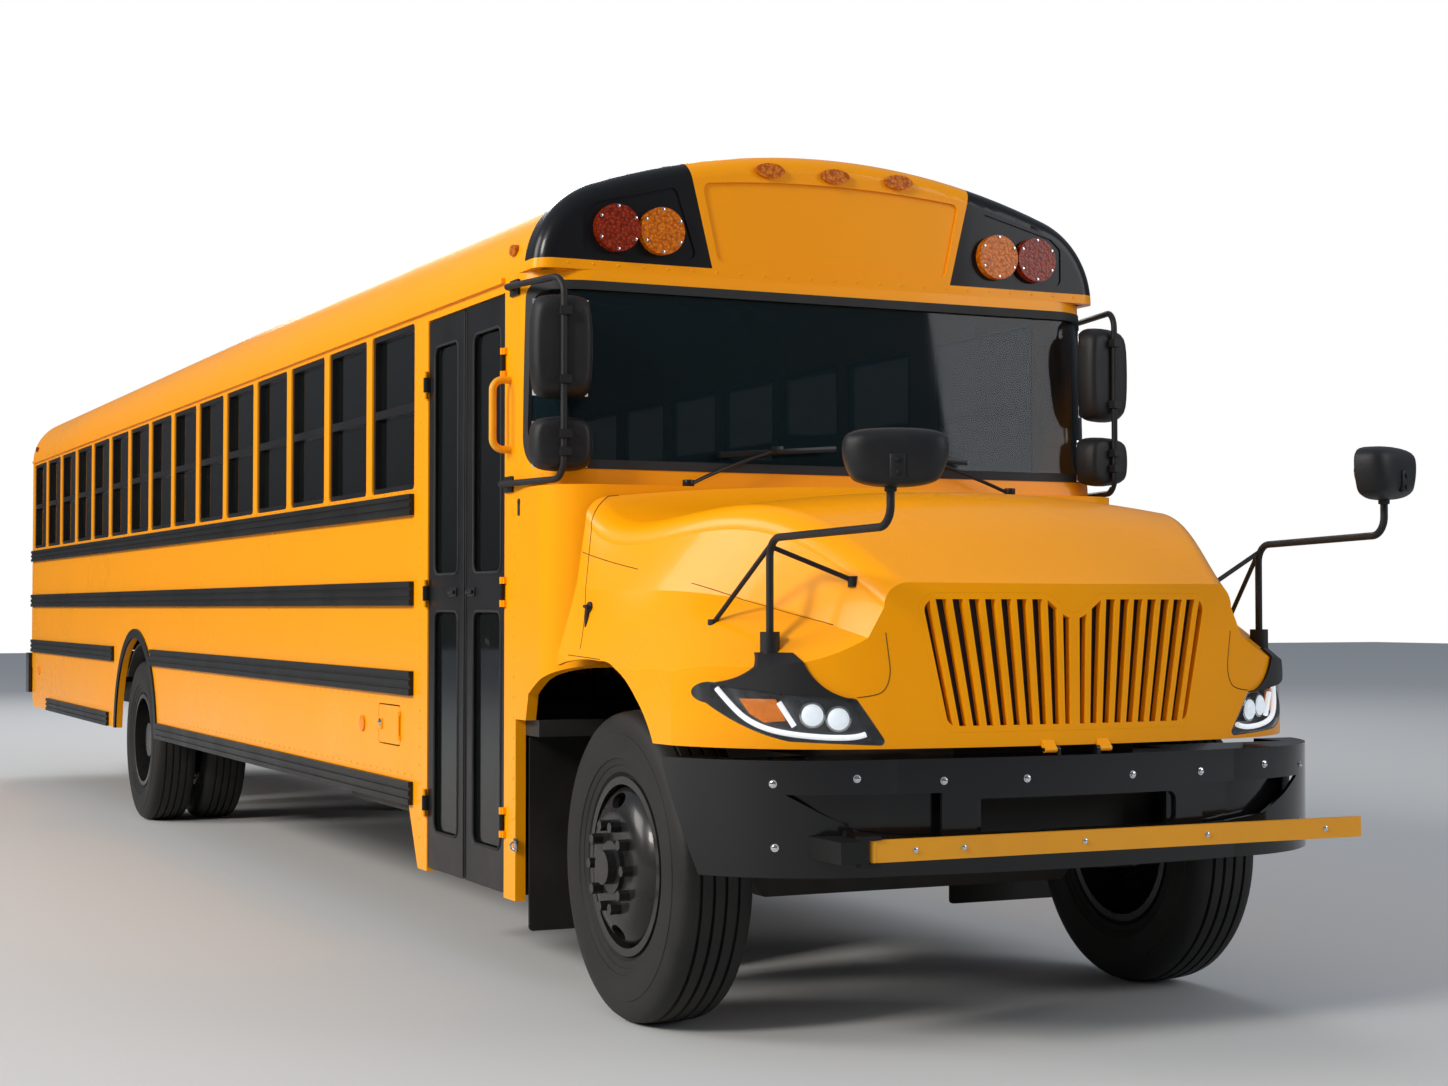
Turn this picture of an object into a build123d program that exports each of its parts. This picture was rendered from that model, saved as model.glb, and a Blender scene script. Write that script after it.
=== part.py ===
# A conventional school bus with a tilting hood, at its real size, in millimetres.
# The origin is on the ground in the middle of the bus. The front looks to -Y, the driver's side is +X.
from build123d import *
from math import atan2, cos, radians, sin, sqrt
import os

# Lengths along the bus
wheelbase = 8130
mirror_reach = 1570            # front axle to the foremost cross-view mirror
tail_reach = 4810              # rear axle to the back of the rear bumper
axle_to_cab = 680              # front axle back to the front corner of the body
body_length = 12150            # front corner of the body to its rear face
overall_length = mirror_reach + wheelbase + tail_reach
front_axle_y = mirror_reach - overall_length / 2
rear_axle_y = front_axle_y + wheelbase
cab_y = front_axle_y + axle_to_cab
rear_y = cab_y + body_length

# Heights and the body's section
half_width = 1219
wall = 40                      # side walls and roof, inner lining included
skirt_z = 575
floor_z = 990                  # top of the floor
floor_thickness = 60
sill_z = 1900                  # lower edge of the side windows
head_z = 2600                  # upper edge of the side windows
drip_z = 2640                  # top of the walls, where the roof starts
roof_z = 3140
shoulder_radius = 350          # roof to wall
clearance = 0.3                # pins, shafts and seated pieces
door_gap = 6                   # round a moving panel

# Side windows, the same on both sides
window_pitch = 711
window_count = 15
window_width = 626
first_post_y = cab_y + 1324    # middle of the first post
window_corner = 25
sash_width = 28
sash_depth = 26
glass_thickness = 6

# Entrance door, in two leaves that open outwards
door_front_y = cab_y + 245
door_rear_y = cab_y + 1180
door_foot_z = 330
door_head_z = 2585
leaf_thickness = 38
leaf_split = 14                # gap between the leaves

# The body's front
shield_foot_y = cab_y - 170    # front of the body under the windshield
face_y = cab_y - 95            # flat of the front cap
face_radius = 70               # its rounded edge
post_y = cab_y + 45            # rear edge of the windshield
front_corner = 215
shield_low_z = 1905
shield_high_z = 2600
shield_corner = 130
cowl_y = cab_y - 300
cowl_corner = 190
cowl_lip_z = 1842
seal_width = 34

# Wheels
tyre_radius = 527
bead_radius = 286
front_track_half = 1005
dual_outer = 1050
dual_inner = 722
spindle_radius = 45
kingpin_x = 835
kingpin_radius = 24
studs = 10
stud_circle = 285.75 / 2
arch_radius = 675              # rear wheel arch in the wall

# Hood
hood_wall = 14
hood_low_z = 965
nose_y = cab_y - 1720
hood_half = 1195
hood_rear_y = cowl_y - door_gap
hood_pivot_y = nose_y - 12
hood_pivot_z = 953

# Grille
grille_top_z = 1448
grille_low_z = 1012
grille_top_half = 565
grille_low_half = 468
grille_corner = 55
notch_half = 98
notch_z = 1372
bar_count = 9                  # each side of the middle bar
bar_width = 20
bar_depth = 26

# Bumpers and rails
bumper_y = cab_y - 1752
bumper_half = 1235
bumper_end_y = cab_y - 1262
bumper_low_z = 578
bumper_top_z = 935
bumper_wall = 12
rear_bumper_low_z = 690
rear_bumper_top_z = 1020
rail_reach = 22                # how far a rub rail stands out

# Frame rails
frame_half = 430
frame_flange = 78
frame_low_z = 620
frame_top_z = 880
frame_wall = 9

os.makedirs("parts", exist_ok=True)


def keep(label, part):
    part.label = label
    export_step(part, "parts/" + label + ".step")


def roof_section(y, inset, low):
    # Section of the body across the bus at y, from height low up to the roof.
    reach = half_width - shoulder_radius
    rise = roof_z - drip_z
    radius = (reach**2 + rise**2 - shoulder_radius**2) / (2 * (rise - shoulder_radius))
    centre_z = roof_z - radius
    angle = atan2(drip_z - centre_z, reach)
    big, small = radius - inset, shoulder_radius - inset
    join_x, join_z = big * cos(angle), centre_z + big * sin(angle)
    mid_x, mid_z = reach + small * cos(angle / 2), drip_z + small * sin(angle / 2)
    side = half_width - inset
    with BuildSketch(Plane.XZ.offset(-y)) as section:
        with BuildLine():
            ThreePointArc((side, drip_z), (mid_x, mid_z), (join_x, join_z))
            ThreePointArc((join_x, join_z), (0, roof_z - inset), (-join_x, join_z))
            ThreePointArc((-join_x, join_z), (-mid_x, mid_z), (-side, drip_z))
            if low < drip_z:
                Polyline((-side, drip_z), (-side, low), (side, low), (side, drip_z))
            else:
                Line((-side, drip_z), (side, drip_z))
        make_face()
    return section.sketch


def front_plan(z, front, back, inset, corner):
    # U-shaped plan of the body's front at height z: straight sides, rounded corners, flat front.
    half = half_width - inset
    front = front + inset
    radius = corner - inset
    edge = radius * (1 - sqrt(0.5))
    with BuildSketch(Plane.XY.offset(z)) as plan:
        with BuildLine():
            Line((-half, back), (-half, front + radius))
            ThreePointArc((-half, front + radius), (-half + edge, front + edge), (-half + radius, front))
            Line((-half + radius, front), (half - radius, front))
            ThreePointArc((half - radius, front), (half - edge, front + edge), (half, front + radius))
            Line((half, front + radius), (half, back))
            Line((half, back), (-half, back))
        make_face()
    return plan.sketch


def hinge_half(x, y, spans, radius, bore, web):
    # Barrels of a hinge on the upright axis at x, y, each with a web that reaches to its panel.
    web_x, web_y = web
    with BuildPart(mode=Mode.PRIVATE) as half:
        for low, high in spans:
            with BuildSketch(Plane.XY.offset(low)):
                with Locations((x + (web_x[0] + web_x[1]) / 2, y + (web_y[0] + web_y[1]) / 2)):
                    Rectangle(web_x[1] - web_x[0], web_y[1] - web_y[0])
                with Locations((x, y)):
                    Circle(radius)
                    Circle(bore, mode=Mode.SUBTRACT)
            extrude(amount=high - low)
    return half.part


def hinge_pin(x, y, low, high, radius):
    with BuildSketch(Plane.XY.offset(low)) as pin:
        with Locations((x, y)):
            Circle(radius)
    return extrude(pin.sketch, amount=high - low, mode=Mode.PRIVATE)


def lean_y(z):
    # Front of the body at height z, where the windshield leans back.
    share = (z - cowl_lip_z) / (drip_z - cowl_lip_z)
    return shield_foot_y + share * (face_y - shield_foot_y)


# Hinges of the entrance door: where they stand, how tall their barrels are
barrel_radius = 9
barrel_gap = 1
hinge_pin_radius = 5
hinge_fit = 0.05
door_hinge_x = -half_width - 11
door_hinge_zs = (600, 1460, 2320)
inner_barrel = 60
outer_barrel = 25
front_hinge_y = door_front_y - 2
rear_hinge_y = door_rear_y + 2


def inner_spans(zs):
    return [(z - inner_barrel / 2, z + inner_barrel / 2) for z in zs]


def outer_spans(zs):
    far = inner_barrel / 2 + barrel_gap
    return [(z + s * far - (outer_barrel if s < 0 else 0), z + s * far + (outer_barrel if s > 0 else 0))
            for z in zs for s in (-1, 1)]


def fixed_hinges(x, y, zs, web):
    # The barrels on the fixed side and the pins through both sides.
    reach = inner_barrel / 2 + barrel_gap + outer_barrel
    body = hinge_half(x, y, outer_spans(zs), barrel_radius, hinge_pin_radius - 1, web)
    for z in zs:
        body = body + hinge_pin(x, y, z - reach, z + reach, hinge_pin_radius)
    return body


def moving_hinges(x, y, zs, web):
    return hinge_half(x, y, inner_spans(zs), barrel_radius, hinge_pin_radius + hinge_fit, web)


# Roof: one long shell with two hatch openings and their curbs
hatch_size = 600
hatch_rows = (3, 11)
hatch_ys = [first_post_y + window_pitch * (row + 0.5) for row in hatch_rows]
curb_wall = 20
curb_top_z = roof_z + 14
shell_front_y = cab_y + 40
shell_rear_y = rear_y - 160
with BuildPart() as roof:
    extrude(roof_section(shell_rear_y, 0, drip_z), amount=shell_rear_y - shell_front_y)
    for y in hatch_ys:
        with BuildSketch(Plane.XY.offset(curb_top_z)):
            with Locations((0, y)):
                Rectangle(hatch_size + 2 * curb_wall, hatch_size + 2 * curb_wall)
        extrude(amount=-60)
    extrude(roof_section(shell_rear_y, wall, drip_z), amount=shell_rear_y - shell_front_y, mode=Mode.SUBTRACT)
    for y in hatch_ys:
        with BuildSketch(Plane.XY.offset(curb_top_z)):
            with Locations((0, y)):
                Rectangle(hatch_size, hatch_size)
        extrude(amount=-200, mode=Mode.SUBTRACT)

# The roof's sections meet at the bows. Each hatch has a short section of its own: a panel on either side
# of the opening, and a header before and behind it
bay_pieces = []
bay_blocks = []
for y in hatch_ys:
    bay_block = Pos(0, y, roof_z) * Box(4 * half_width, window_pitch, 4 * shoulder_radius)
    header_block = Pos(0, y, roof_z) * Box(hatch_size, window_pitch, 4 * shoulder_radius)
    bay = roof.part & bay_block
    bay_pieces += [*(bay & header_block).solids(), *(bay - header_block).solids()]
    bay_blocks.append(bay_block)
keep("roof_hatch_bays", Compound(children=bay_pieces))
keep("roof", roof.part - bay_blocks[0] - bay_blocks[1])

# Roof hatch lids, hinged at their front edges
lid_size = 670
lid_thickness = 32
for name, y in zip(("roof_hatch_front", "roof_hatch_rear"), hatch_ys):
    with BuildPart() as lid:
        with BuildSketch(Plane.XY.offset(curb_top_z + clearance)):
            with Locations((0, y)):
                RectangleRounded(lid_size, lid_size, 45)
        extrude(amount=lid_thickness)
        fillet(lid.faces().sort_by(Axis.Z)[-1].edges(), 12)
    keep(name, lid.part)

# Side walls, with the window openings, the wheel arch and the drip rail
window_ys = [first_post_y + window_pitch * (i + 0.5) for i in range(window_count)]
window_mid_z = (sill_z + head_z) / 2
window_height = head_z - sill_z
driver_window_y = (door_front_y + door_rear_y) / 2 + 20
driver_window_width = 800
arch_centre = (rear_axle_y, tyre_radius)
drip_reach = 16
drip_height = 20
fuel_y = cab_y + 1710
fuel_z = 897
fuel_size = (320, 176)
post_foot_z = 320


def side_wall(side, front):
    with BuildPart() as panel:
        with BuildSketch(Plane.YZ.offset(half_width * side)):
            foot_z = post_foot_z if side < 0 else skirt_z
            Polygon(
                (front, foot_z),
                (front + 120, foot_z),
                (front + 120 + (skirt_z - foot_z) / 2, skirt_z),
                (shell_rear_y - 70, skirt_z),
                (shell_rear_y, skirt_z + 70),
                (shell_rear_y, drip_z),
                (front, drip_z),
                align=None,
            )
            with Locations(*[(y, window_mid_z) for y in window_ys]):
                RectangleRounded(window_width, window_height, window_corner, mode=Mode.SUBTRACT)
            if side > 0:
                with Locations((driver_window_y, window_mid_z)):
                    RectangleRounded(driver_window_width, window_height, window_corner, mode=Mode.SUBTRACT)
            else:
                with Locations((fuel_y, fuel_z)):
                    RectangleRounded(*fuel_size, 20, mode=Mode.SUBTRACT)
            with Locations(arch_centre):
                Circle(arch_radius, mode=Mode.SUBTRACT)
        extrude(amount=-wall * side)
        with BuildSketch(Plane.YZ.offset(half_width * side)):
            with Locations(((front + shell_rear_y) / 2, drip_z - drip_height / 2)):
                Rectangle(shell_rear_y - front, drip_height)
        extrude(amount=drip_reach * side)
    return panel.part


fuel_hinge_x = -half_width - 6
fuel_hinge_y = fuel_y - fuel_size[0] / 2 + 3
fuel_pin_radius = 2.5
with BuildPart() as right_wall:
    add(side_wall(-1, door_rear_y))
    spans = [(fuel_z - 61, fuel_z - 41), (fuel_z + 41, fuel_z + 61)]
    add(hinge_half(fuel_hinge_x, fuel_hinge_y, spans, 5, fuel_pin_radius - 1, ((0, 8), (-14, 0))))
    add(hinge_pin(fuel_hinge_x, fuel_hinge_y, fuel_z - 61, fuel_z + 61, fuel_pin_radius))
    add(fixed_hinges(door_hinge_x, rear_hinge_y, door_hinge_zs, ((0, 12), (0, 20))))
keep("right_wall", right_wall.part)
keep("left_wall", side_wall(1, door_front_y))

# Fuel door, hinged at its front edge
with BuildPart() as fuel_door:
    span = (fuel_z - 40, fuel_z + 40)
    add(hinge_half(fuel_hinge_x, fuel_hinge_y, [span], 5, fuel_pin_radius + hinge_fit, ((0, 8), (1, 14))))
    with BuildSketch(Plane.YZ.offset(-half_width)):
        with Locations((fuel_y, fuel_z)):
            RectangleRounded(fuel_size[0] - 2 * door_gap, fuel_size[1] - 2 * door_gap, 15)
    extrude(amount=12)
    with BuildSketch(Plane.YZ.offset(-half_width)):
        with Locations((fuel_y + fuel_size[0] / 2 - 40, fuel_z)):
            RectangleRounded(44, 44, 5)
    extrude(amount=-6)
keep("fuel_door", fuel_door.part)

# Sashes and panes: two panes behind a split frame in each side window
with BuildPart() as window_sashes:
    for side in (-1, 1):
        sizes = [(y, window_width) for y in window_ys]
        if side > 0:
            sizes.append((driver_window_y, driver_window_width))
        with BuildSketch(Plane.YZ.offset((half_width - 8) * side)):
            for y, width in sizes:
                with Locations((y, window_mid_z)):
                    RectangleRounded(width, window_height, window_corner)
                with Locations(*[(y, window_mid_z + s * (window_height / 4 - 3)) for s in (-1, 1)]):
                    RectangleRounded(
                        width - 2 * sash_width, window_height / 2 - sash_width - 14, 12, mode=Mode.SUBTRACT
                    )
        extrude(amount=-sash_depth * side)
keep("window_sashes", window_sashes.part)

with BuildPart() as window_panes:
    for side in (-1, 1):
        sizes = [(y, window_width) for y in window_ys]
        if side > 0:
            sizes.append((driver_window_y, driver_window_width))
        with BuildSketch(Plane.YZ.offset((half_width - 8 - sash_depth) * side)):
            for y, width in sizes:
                with Locations((y, window_mid_z)):
                    Rectangle(width - sash_width, window_height - sash_width)
        extrude(amount=-glass_thickness * side)

# Front arch: outline of the wheel opening in the hood and the cowl, from the axle's point of view
arch_points = (
    (-470, -60),
    (-395, 440),
    (-252, 604),
    (50, 693),
    (474, 644),
    (666, 560),
    (736, 315),
    (777, 92),
    (790, -260),
)


def front_arch():
    with BuildSketch(Plane.YZ.offset(-half_width - 100)) as outline:
        y, z = front_axle_y, tyre_radius
        at = [(y + dy, z + dz) for dy, dz in arch_points]
        with BuildLine():
            Line(at[0], at[1])
            ThreePointArc(at[1], at[2], at[3])
            ThreePointArc(at[3], at[4], at[5])
            Line(at[5], at[6])
            Line(at[6], at[7])
            Line(at[7], at[8])
            Line(at[8], at[0])
        make_face()
    return extrude(outline.sketch, amount=2 * half_width + 200, mode=Mode.PRIVATE)


arch_cutter = front_arch()


def lean_shell(low, high, back, outer, inner):
    # Shell of the body's front between two insets, from height low to high.
    outside = [front_plan(z, lean_y(z), back, outer, front_corner) for z in (low, high)]
    inside = [front_plan(z, lean_y(z), back + 1, inner, front_corner) for z in (low - 1, high + 1)]
    return loft(outside, mode=Mode.PRIVATE) - loft(inside, mode=Mode.PRIVATE)


def shield_block(grow):
    # Everything ahead of the windshield's rear edges, between its lower and upper edges.
    with BuildSketch(Plane.YZ.offset(-half_width - 50)) as outline:
        low, high = shield_low_z - grow, shield_high_z + grow
        back = post_y + grow
        with BuildLine():
            Polyline(
                (cab_y - 500, high), (cab_y - 500, low), (back - shield_corner, low)
            )
            RadiusArc((back - shield_corner, low), (back, low + shield_corner), -shield_corner)
            Line((back, low + shield_corner), (back, high - shield_corner / 2))
            RadiusArc((back, high - shield_corner / 2), (back - shield_corner / 2, high), -shield_corner / 2)
            Line((back - shield_corner / 2, high), (cab_y - 500, high))
        make_face()
    return extrude(outline.sketch, amount=2 * half_width + 100, mode=Mode.PRIVATE)


# Windshield frame: posts and header round the windshield, and the right front post down to the step
with BuildPart() as windshield_frame:
    add(lean_shell(cowl_lip_z, drip_z, door_front_y, 0, wall))
    add(shield_block(0), mode=Mode.SUBTRACT)
    with BuildSketch(Plane.YZ.offset(-half_width)):
        Polygon(
            (cab_y + 120, post_foot_z),
            (door_front_y, post_foot_z),
            (door_front_y, cowl_lip_z),
            (cab_y + 120, cowl_lip_z),
            align=None,
        )
    extrude(amount=wall)
    with BuildSketch(Plane.YZ.offset(half_width)):
        Polygon(
            (cab_y + 120, skirt_z),
            (door_front_y, skirt_z),
            (door_front_y, cowl_lip_z),
            (cab_y + 120, cowl_lip_z),
            align=None,
        )
    extrude(amount=-wall)
with BuildPart() as front_post_hinges:
    add(windshield_frame.part)
    add(fixed_hinges(door_hinge_x, front_hinge_y, door_hinge_zs, ((0, 12), (-20, 0))))
keep("windshield_frame", front_post_hinges.part)

# Windshield and its rubber seal, with the wipers
glass_inset = 10
with BuildPart() as windshield:
    sheet = lean_shell(cowl_lip_z, drip_z, door_front_y, glass_inset, glass_inset + glass_thickness)
    add(sheet & shield_block(-seal_width))
keep("windshield", windshield.part)

with BuildPart() as windshield_trim:
    rubber = lean_shell(cowl_lip_z, drip_z, door_front_y, -3, wall - 10)
    add((rubber & shield_block(-clearance)) - shield_block(-seal_width))
keep("windshield_trim", windshield_trim.part)

# Cowl: the firewall and the sides of the body ahead of the doors, with the ledge under the windshield
with BuildPart() as cowl:
    extrude(front_plan(floor_z, cowl_y, cab_y + 120, 0, cowl_corner), amount=cowl_lip_z - floor_z)
    extrude(
        front_plan(floor_z, cowl_y, cab_y + 121, wall, cowl_corner),
        amount=cowl_lip_z - floor_z - 30,
        mode=Mode.SUBTRACT,
    )
    with BuildSketch(Plane.XY.offset(floor_z)):
        with Locations((0, shield_foot_y + wall)):
            Rectangle(2 * (half_width - wall), 1000, align=(Align.CENTER, Align.MIN))
    extrude(amount=1000, mode=Mode.SUBTRACT)
    add(arch_cutter, mode=Mode.SUBTRACT)
keep("cowl", cowl.part)


# Caps that close the roof at the front and the body at the rear
panel_sink = 9
wing_sink = 6
with BuildPart() as front_cap:
    extrude(roof_section(shell_front_y, 0, drip_z), amount=shell_front_y - face_y)
    face = front_cap.faces().sort_by(Axis.Y)[0]
    fillet(face.edges().filter_by(lambda e: e.center().Z > drip_z + 10), face_radius)
    extrude(
        roof_section(shell_front_y, wall, drip_z),
        amount=shell_front_y - face_y - wall,
        mode=Mode.SUBTRACT,
    )
    with BuildSketch(Plane.XZ.offset(-face_y)) as panel:
        with BuildLine():
            ThreePointArc((-560, 2996), (0, 3026), (560, 2996))
            Polyline((560, 2996), (495, 2705), (-495, 2705), (-560, 2996))
        make_face()
        fillet(panel.vertices(), 28)
    extrude(amount=-panel_sink, mode=Mode.SUBTRACT)
    for side in (-1, 1):
        with BuildSketch(Plane.XZ.offset(-face_y)) as wing:
            Polygon(
                (side * 580, 2704),
                (side * 1040, 2704),
                (side * 1040, 2850),
                (side * 994, 2890),
                (side * 668, 2972),
                align=None,
            )
            fillet(wing.vertices(), 26)
        extrude(amount=-wing_sink, mode=Mode.SUBTRACT)
keep("front_cap", front_cap.part)

rear_foot_z = 900
rear_corner = 110
rear_door_half = 430
rear_door_low_z = 1030
rear_door_high_z = 2560
rear_window_half = 270
rear_window_x = 815
rear_door_hinge_x = -rear_door_half - 3
rear_door_hinge_y = rear_y + barrel_radius
rear_door_hinge_zs = (1250, 1800, 2380)
with BuildPart() as rear_wall:
    extrude(roof_section(rear_y, 0, rear_foot_z), amount=rear_y - shell_rear_y)
    face = rear_wall.faces().sort_by(Axis.Y)[-1]
    fillet(face.edges().filter_by(lambda e: e.center().Z > rear_foot_z + 10), rear_corner)
    extrude(
        roof_section(rear_y - wall, wall, rear_foot_z),
        amount=rear_y - wall - shell_rear_y,
        mode=Mode.SUBTRACT,
    )
    with BuildSketch(Plane.XZ.offset(-rear_y - 1)):
        with Locations((0, (rear_door_low_z + rear_door_high_z) / 2)):
            RectangleRounded(2 * rear_door_half, rear_door_high_z - rear_door_low_z, 60)
        with Locations((-rear_window_x, window_mid_z), (rear_window_x, window_mid_z)):
            RectangleRounded(2 * rear_window_half, window_height - 60, 70)
    extrude(amount=wall + 2, mode=Mode.SUBTRACT)
    add(fixed_hinges(rear_door_hinge_x, rear_door_hinge_y, rear_door_hinge_zs, ((-22, 0), (-10, 0))))
keep("rear_wall", rear_wall.part)

# Rear windows beside the door
with BuildPart() as rear_panes:
    with BuildSketch(Plane.XZ.offset(-rear_y + 12)):
        with Locations((-rear_window_x, window_mid_z), (rear_window_x, window_mid_z)):
            RectangleRounded(2 * rear_window_half - 2 * clearance, window_height - 60 - 2 * clearance, 70)
    extrude(amount=glass_thickness)
keep("window_panes", Compound(children=[window_panes.part, rear_panes.part]))

# Rear emergency door with its window, hinged on the door side of the bus
rear_door_thickness = 36
rear_glass = (620, 560)
rear_glass_z = 2210
with BuildPart() as rear_door:
    with BuildSketch(Plane.XZ.offset(-rear_y)):
        with Locations((0, (rear_door_low_z + rear_door_high_z) / 2)):
            RectangleRounded(
                2 * (rear_door_half - door_gap),
                rear_door_high_z - rear_door_low_z - 2 * door_gap,
                60 - door_gap,
            )
        with Locations((0, rear_glass_z)):
            RectangleRounded(*rear_glass, 70, mode=Mode.SUBTRACT)
        with Locations((0, 1480)):
            RectangleRounded(rear_glass[0], 420, 70, mode=Mode.SUBTRACT)
    extrude(amount=rear_door_thickness)
    with BuildSketch(Plane.XZ.offset(-rear_y)):
        with Locations((rear_door_half - 90, 1830)):
            RectangleRounded(60, 150, 12)
    extrude(amount=-40)
    add(moving_hinges(rear_door_hinge_x, rear_door_hinge_y, rear_door_hinge_zs, ((4, 24), (-10, 0))))
keep("rear_door", rear_door.part)

with BuildPart() as rear_door_glass:
    with BuildSketch(Plane.XZ.offset(-rear_y + 12)):
        with Locations((0, rear_glass_z)):
            RectangleRounded(rear_glass[0] - 2 * clearance, rear_glass[1] - 2 * clearance, 70)
        with Locations((0, 1480)):
            RectangleRounded(rear_glass[0] - 2 * clearance, 420 - 2 * clearance, 70)
    extrude(amount=glass_thickness)
keep("rear_door_glass", rear_door_glass.part)

# Entrance door leaves: black frames with an upper and a lower glass
leaf_x = -half_width + 4       # outer face of a closed leaf
leaf_low_z = door_foot_z + door_gap
leaf_high_z = door_head_z - door_gap
leaf_width = (door_rear_y - door_front_y - 2 * door_gap - leaf_split) / 2
leaf_glass_half = (160, 150)
leaf_glass_y = (door_front_y + 210, door_rear_y - 230)
leaf_panes = ((489, 1388), (1536, 2468))
leaf_starts = (door_front_y + door_gap, door_rear_y - door_gap - leaf_width)
for name, start, glass_y, glass_half in zip(("front", "rear"), leaf_starts, leaf_glass_y, leaf_glass_half):
    glass_at = [(glass_y, (low + high) / 2, high - low) for low, high in leaf_panes]
    with BuildPart() as leaf:
        with BuildSketch(Plane.YZ.offset(leaf_x)):
            with Locations((start + leaf_width / 2, (leaf_low_z + leaf_high_z) / 2)):
                RectangleRounded(leaf_width, leaf_high_z - leaf_low_z, 12)
            for y, z, height in glass_at:
                with Locations((y, z)):
                    RectangleRounded(2 * glass_half, height, 40, mode=Mode.SUBTRACT)
        extrude(amount=leaf_thickness)
        if name == "front":
            add(moving_hinges(door_hinge_x, front_hinge_y, door_hinge_zs, ((0, 16), (3, 20))))
        else:
            add(moving_hinges(door_hinge_x, rear_hinge_y, door_hinge_zs, ((0, 16), (-20, -3))))
    keep("door_leaf_" + name, leaf.part)
    with BuildPart() as pane:
        with BuildSketch(Plane.YZ.offset(leaf_x + 14)):
            for y, z, height in glass_at:
                with Locations((y, z)):
                    RectangleRounded(2 * (glass_half - clearance), height - 2 * clearance, 40)
        extrude(amount=glass_thickness)
    keep("door_glass_" + name, pane.part)

# Header over the entrance door, between the two posts
with BuildPart() as door_header:
    with BuildSketch(Plane.YZ.offset(-half_width)):
        Polygon(
            (door_front_y, door_head_z),
            (door_rear_y, door_head_z),
            (door_rear_y, drip_z),
            (door_front_y, drip_z),
            align=None,
        )
    extrude(amount=wall)
    with BuildSketch(Plane.YZ.offset(-half_width)):
        with Locations(((door_front_y + door_rear_y) / 2, drip_z - drip_height / 2)):
            Rectangle(door_rear_y - door_front_y, drip_height)
    extrude(amount=-drip_reach)
keep("door_header", door_header.part)

# Rub rails and rear arch trims: rows as low z, high z, front y, rear y behind the body's front corner
trim_radius = 735
groove_height = 13
groove_depth = 7
rail_rows = (
    (1790, 1880, 1366, 12148),
    (1410, 1512, 1366, 12148),
    (1033, 1135, 1366, 6900),
    (1033, 1135, 8228, 11980),
    (575, 672, 1366, 6715),
    (575, 672, 8412, 11130),
)
with BuildPart() as side_trim:
    for side in (-1, 1):
        with BuildSketch(Plane.YZ.offset(half_width * side)):
            for low, high, front, back in rail_rows:
                front = cab_y + front
                back = min(cab_y + back, shell_rear_y)
                with Locations(((front + back) / 2, (low + high) / 2)):
                    Rectangle(back - front, high - low)
        extrude(amount=rail_reach * side)
        with BuildSketch(Plane.YZ.offset((half_width + rail_reach) * side)):
            for low, high, front, back in rail_rows:
                back = min(cab_y + back, shell_rear_y)
                for part_way in (0.32, 0.68):
                    with Locations((cab_y + front, low + part_way * (high - low))):
                        Rectangle(
                            back - cab_y - front, groove_height, align=(Align.MIN, Align.CENTER)
                        )
        extrude(amount=-groove_depth * side, mode=Mode.SUBTRACT)
        with BuildSketch(Plane.YZ.offset(half_width * side)):
            with Locations(arch_centre):
                Circle(trim_radius)
                Circle(arch_radius, mode=Mode.SUBTRACT)
            with Locations((rear_axle_y, skirt_z)):
                Rectangle(2 * trim_radius, 1000, align=(Align.CENTER, Align.MAX), mode=Mode.SUBTRACT)
        extrude(amount=12 * side)
keep("side_trim", side_trim.part)

# Front bumper: a channel bent round the nose
hood_lug_x = 104
hood_lug_half = 22
hood_lug_radius = 10
hood_pin_radius = 6
frame_front_y = cab_y - 1650


def bumper_plan(z, inset):
    with BuildSketch(Plane.XY.offset(z)) as plan:
        half = bumper_half - inset
        front = bumper_y + inset
        corner = (half - 145, bumper_y + 238 + 0.7 * inset)
        with BuildLine():
            ThreePointArc((-640, front + 52), (0, front), (640, front + 52))
            ThreePointArc((640, front + 52), corner, (half, bumper_end_y))
            Line((half, bumper_end_y), (half, bumper_end_y + 60))
            Line((half, bumper_end_y + 60), (-half, bumper_end_y + 60))
            Line((-half, bumper_end_y + 60), (-half, bumper_end_y))
            ThreePointArc((-half, bumper_end_y), (-corner[0], corner[1]), (-640, front + 52))
        make_face()
    return plan.sketch


# Pockets in the bumper's face beside the middle opening, x and z, each with a plate behind it
pocket_points = ((493, 829), (978, 831), (884, 775), (765, 717), (600, 699), (494, 696))
pocket_depth = 46
pocket_reach = 420
bumper_backing = extrude(
    bumper_plan(bumper_low_z + 2, pocket_depth) - bumper_plan(bumper_low_z + 2, pocket_depth + 6),
    amount=bumper_top_z - bumper_low_z - 4,
    mode=Mode.PRIVATE,
)
with BuildSketch(Plane.XZ.offset(-bumper_y + 40), mode=Mode.PRIVATE) as backing_spans:
    with Locations((-775, 755), (775, 755)):
        Rectangle(670, 500)
bumper_backing = bumper_backing & extrude(backing_spans.sketch, amount=-pocket_reach, mode=Mode.PRIVATE)

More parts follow.
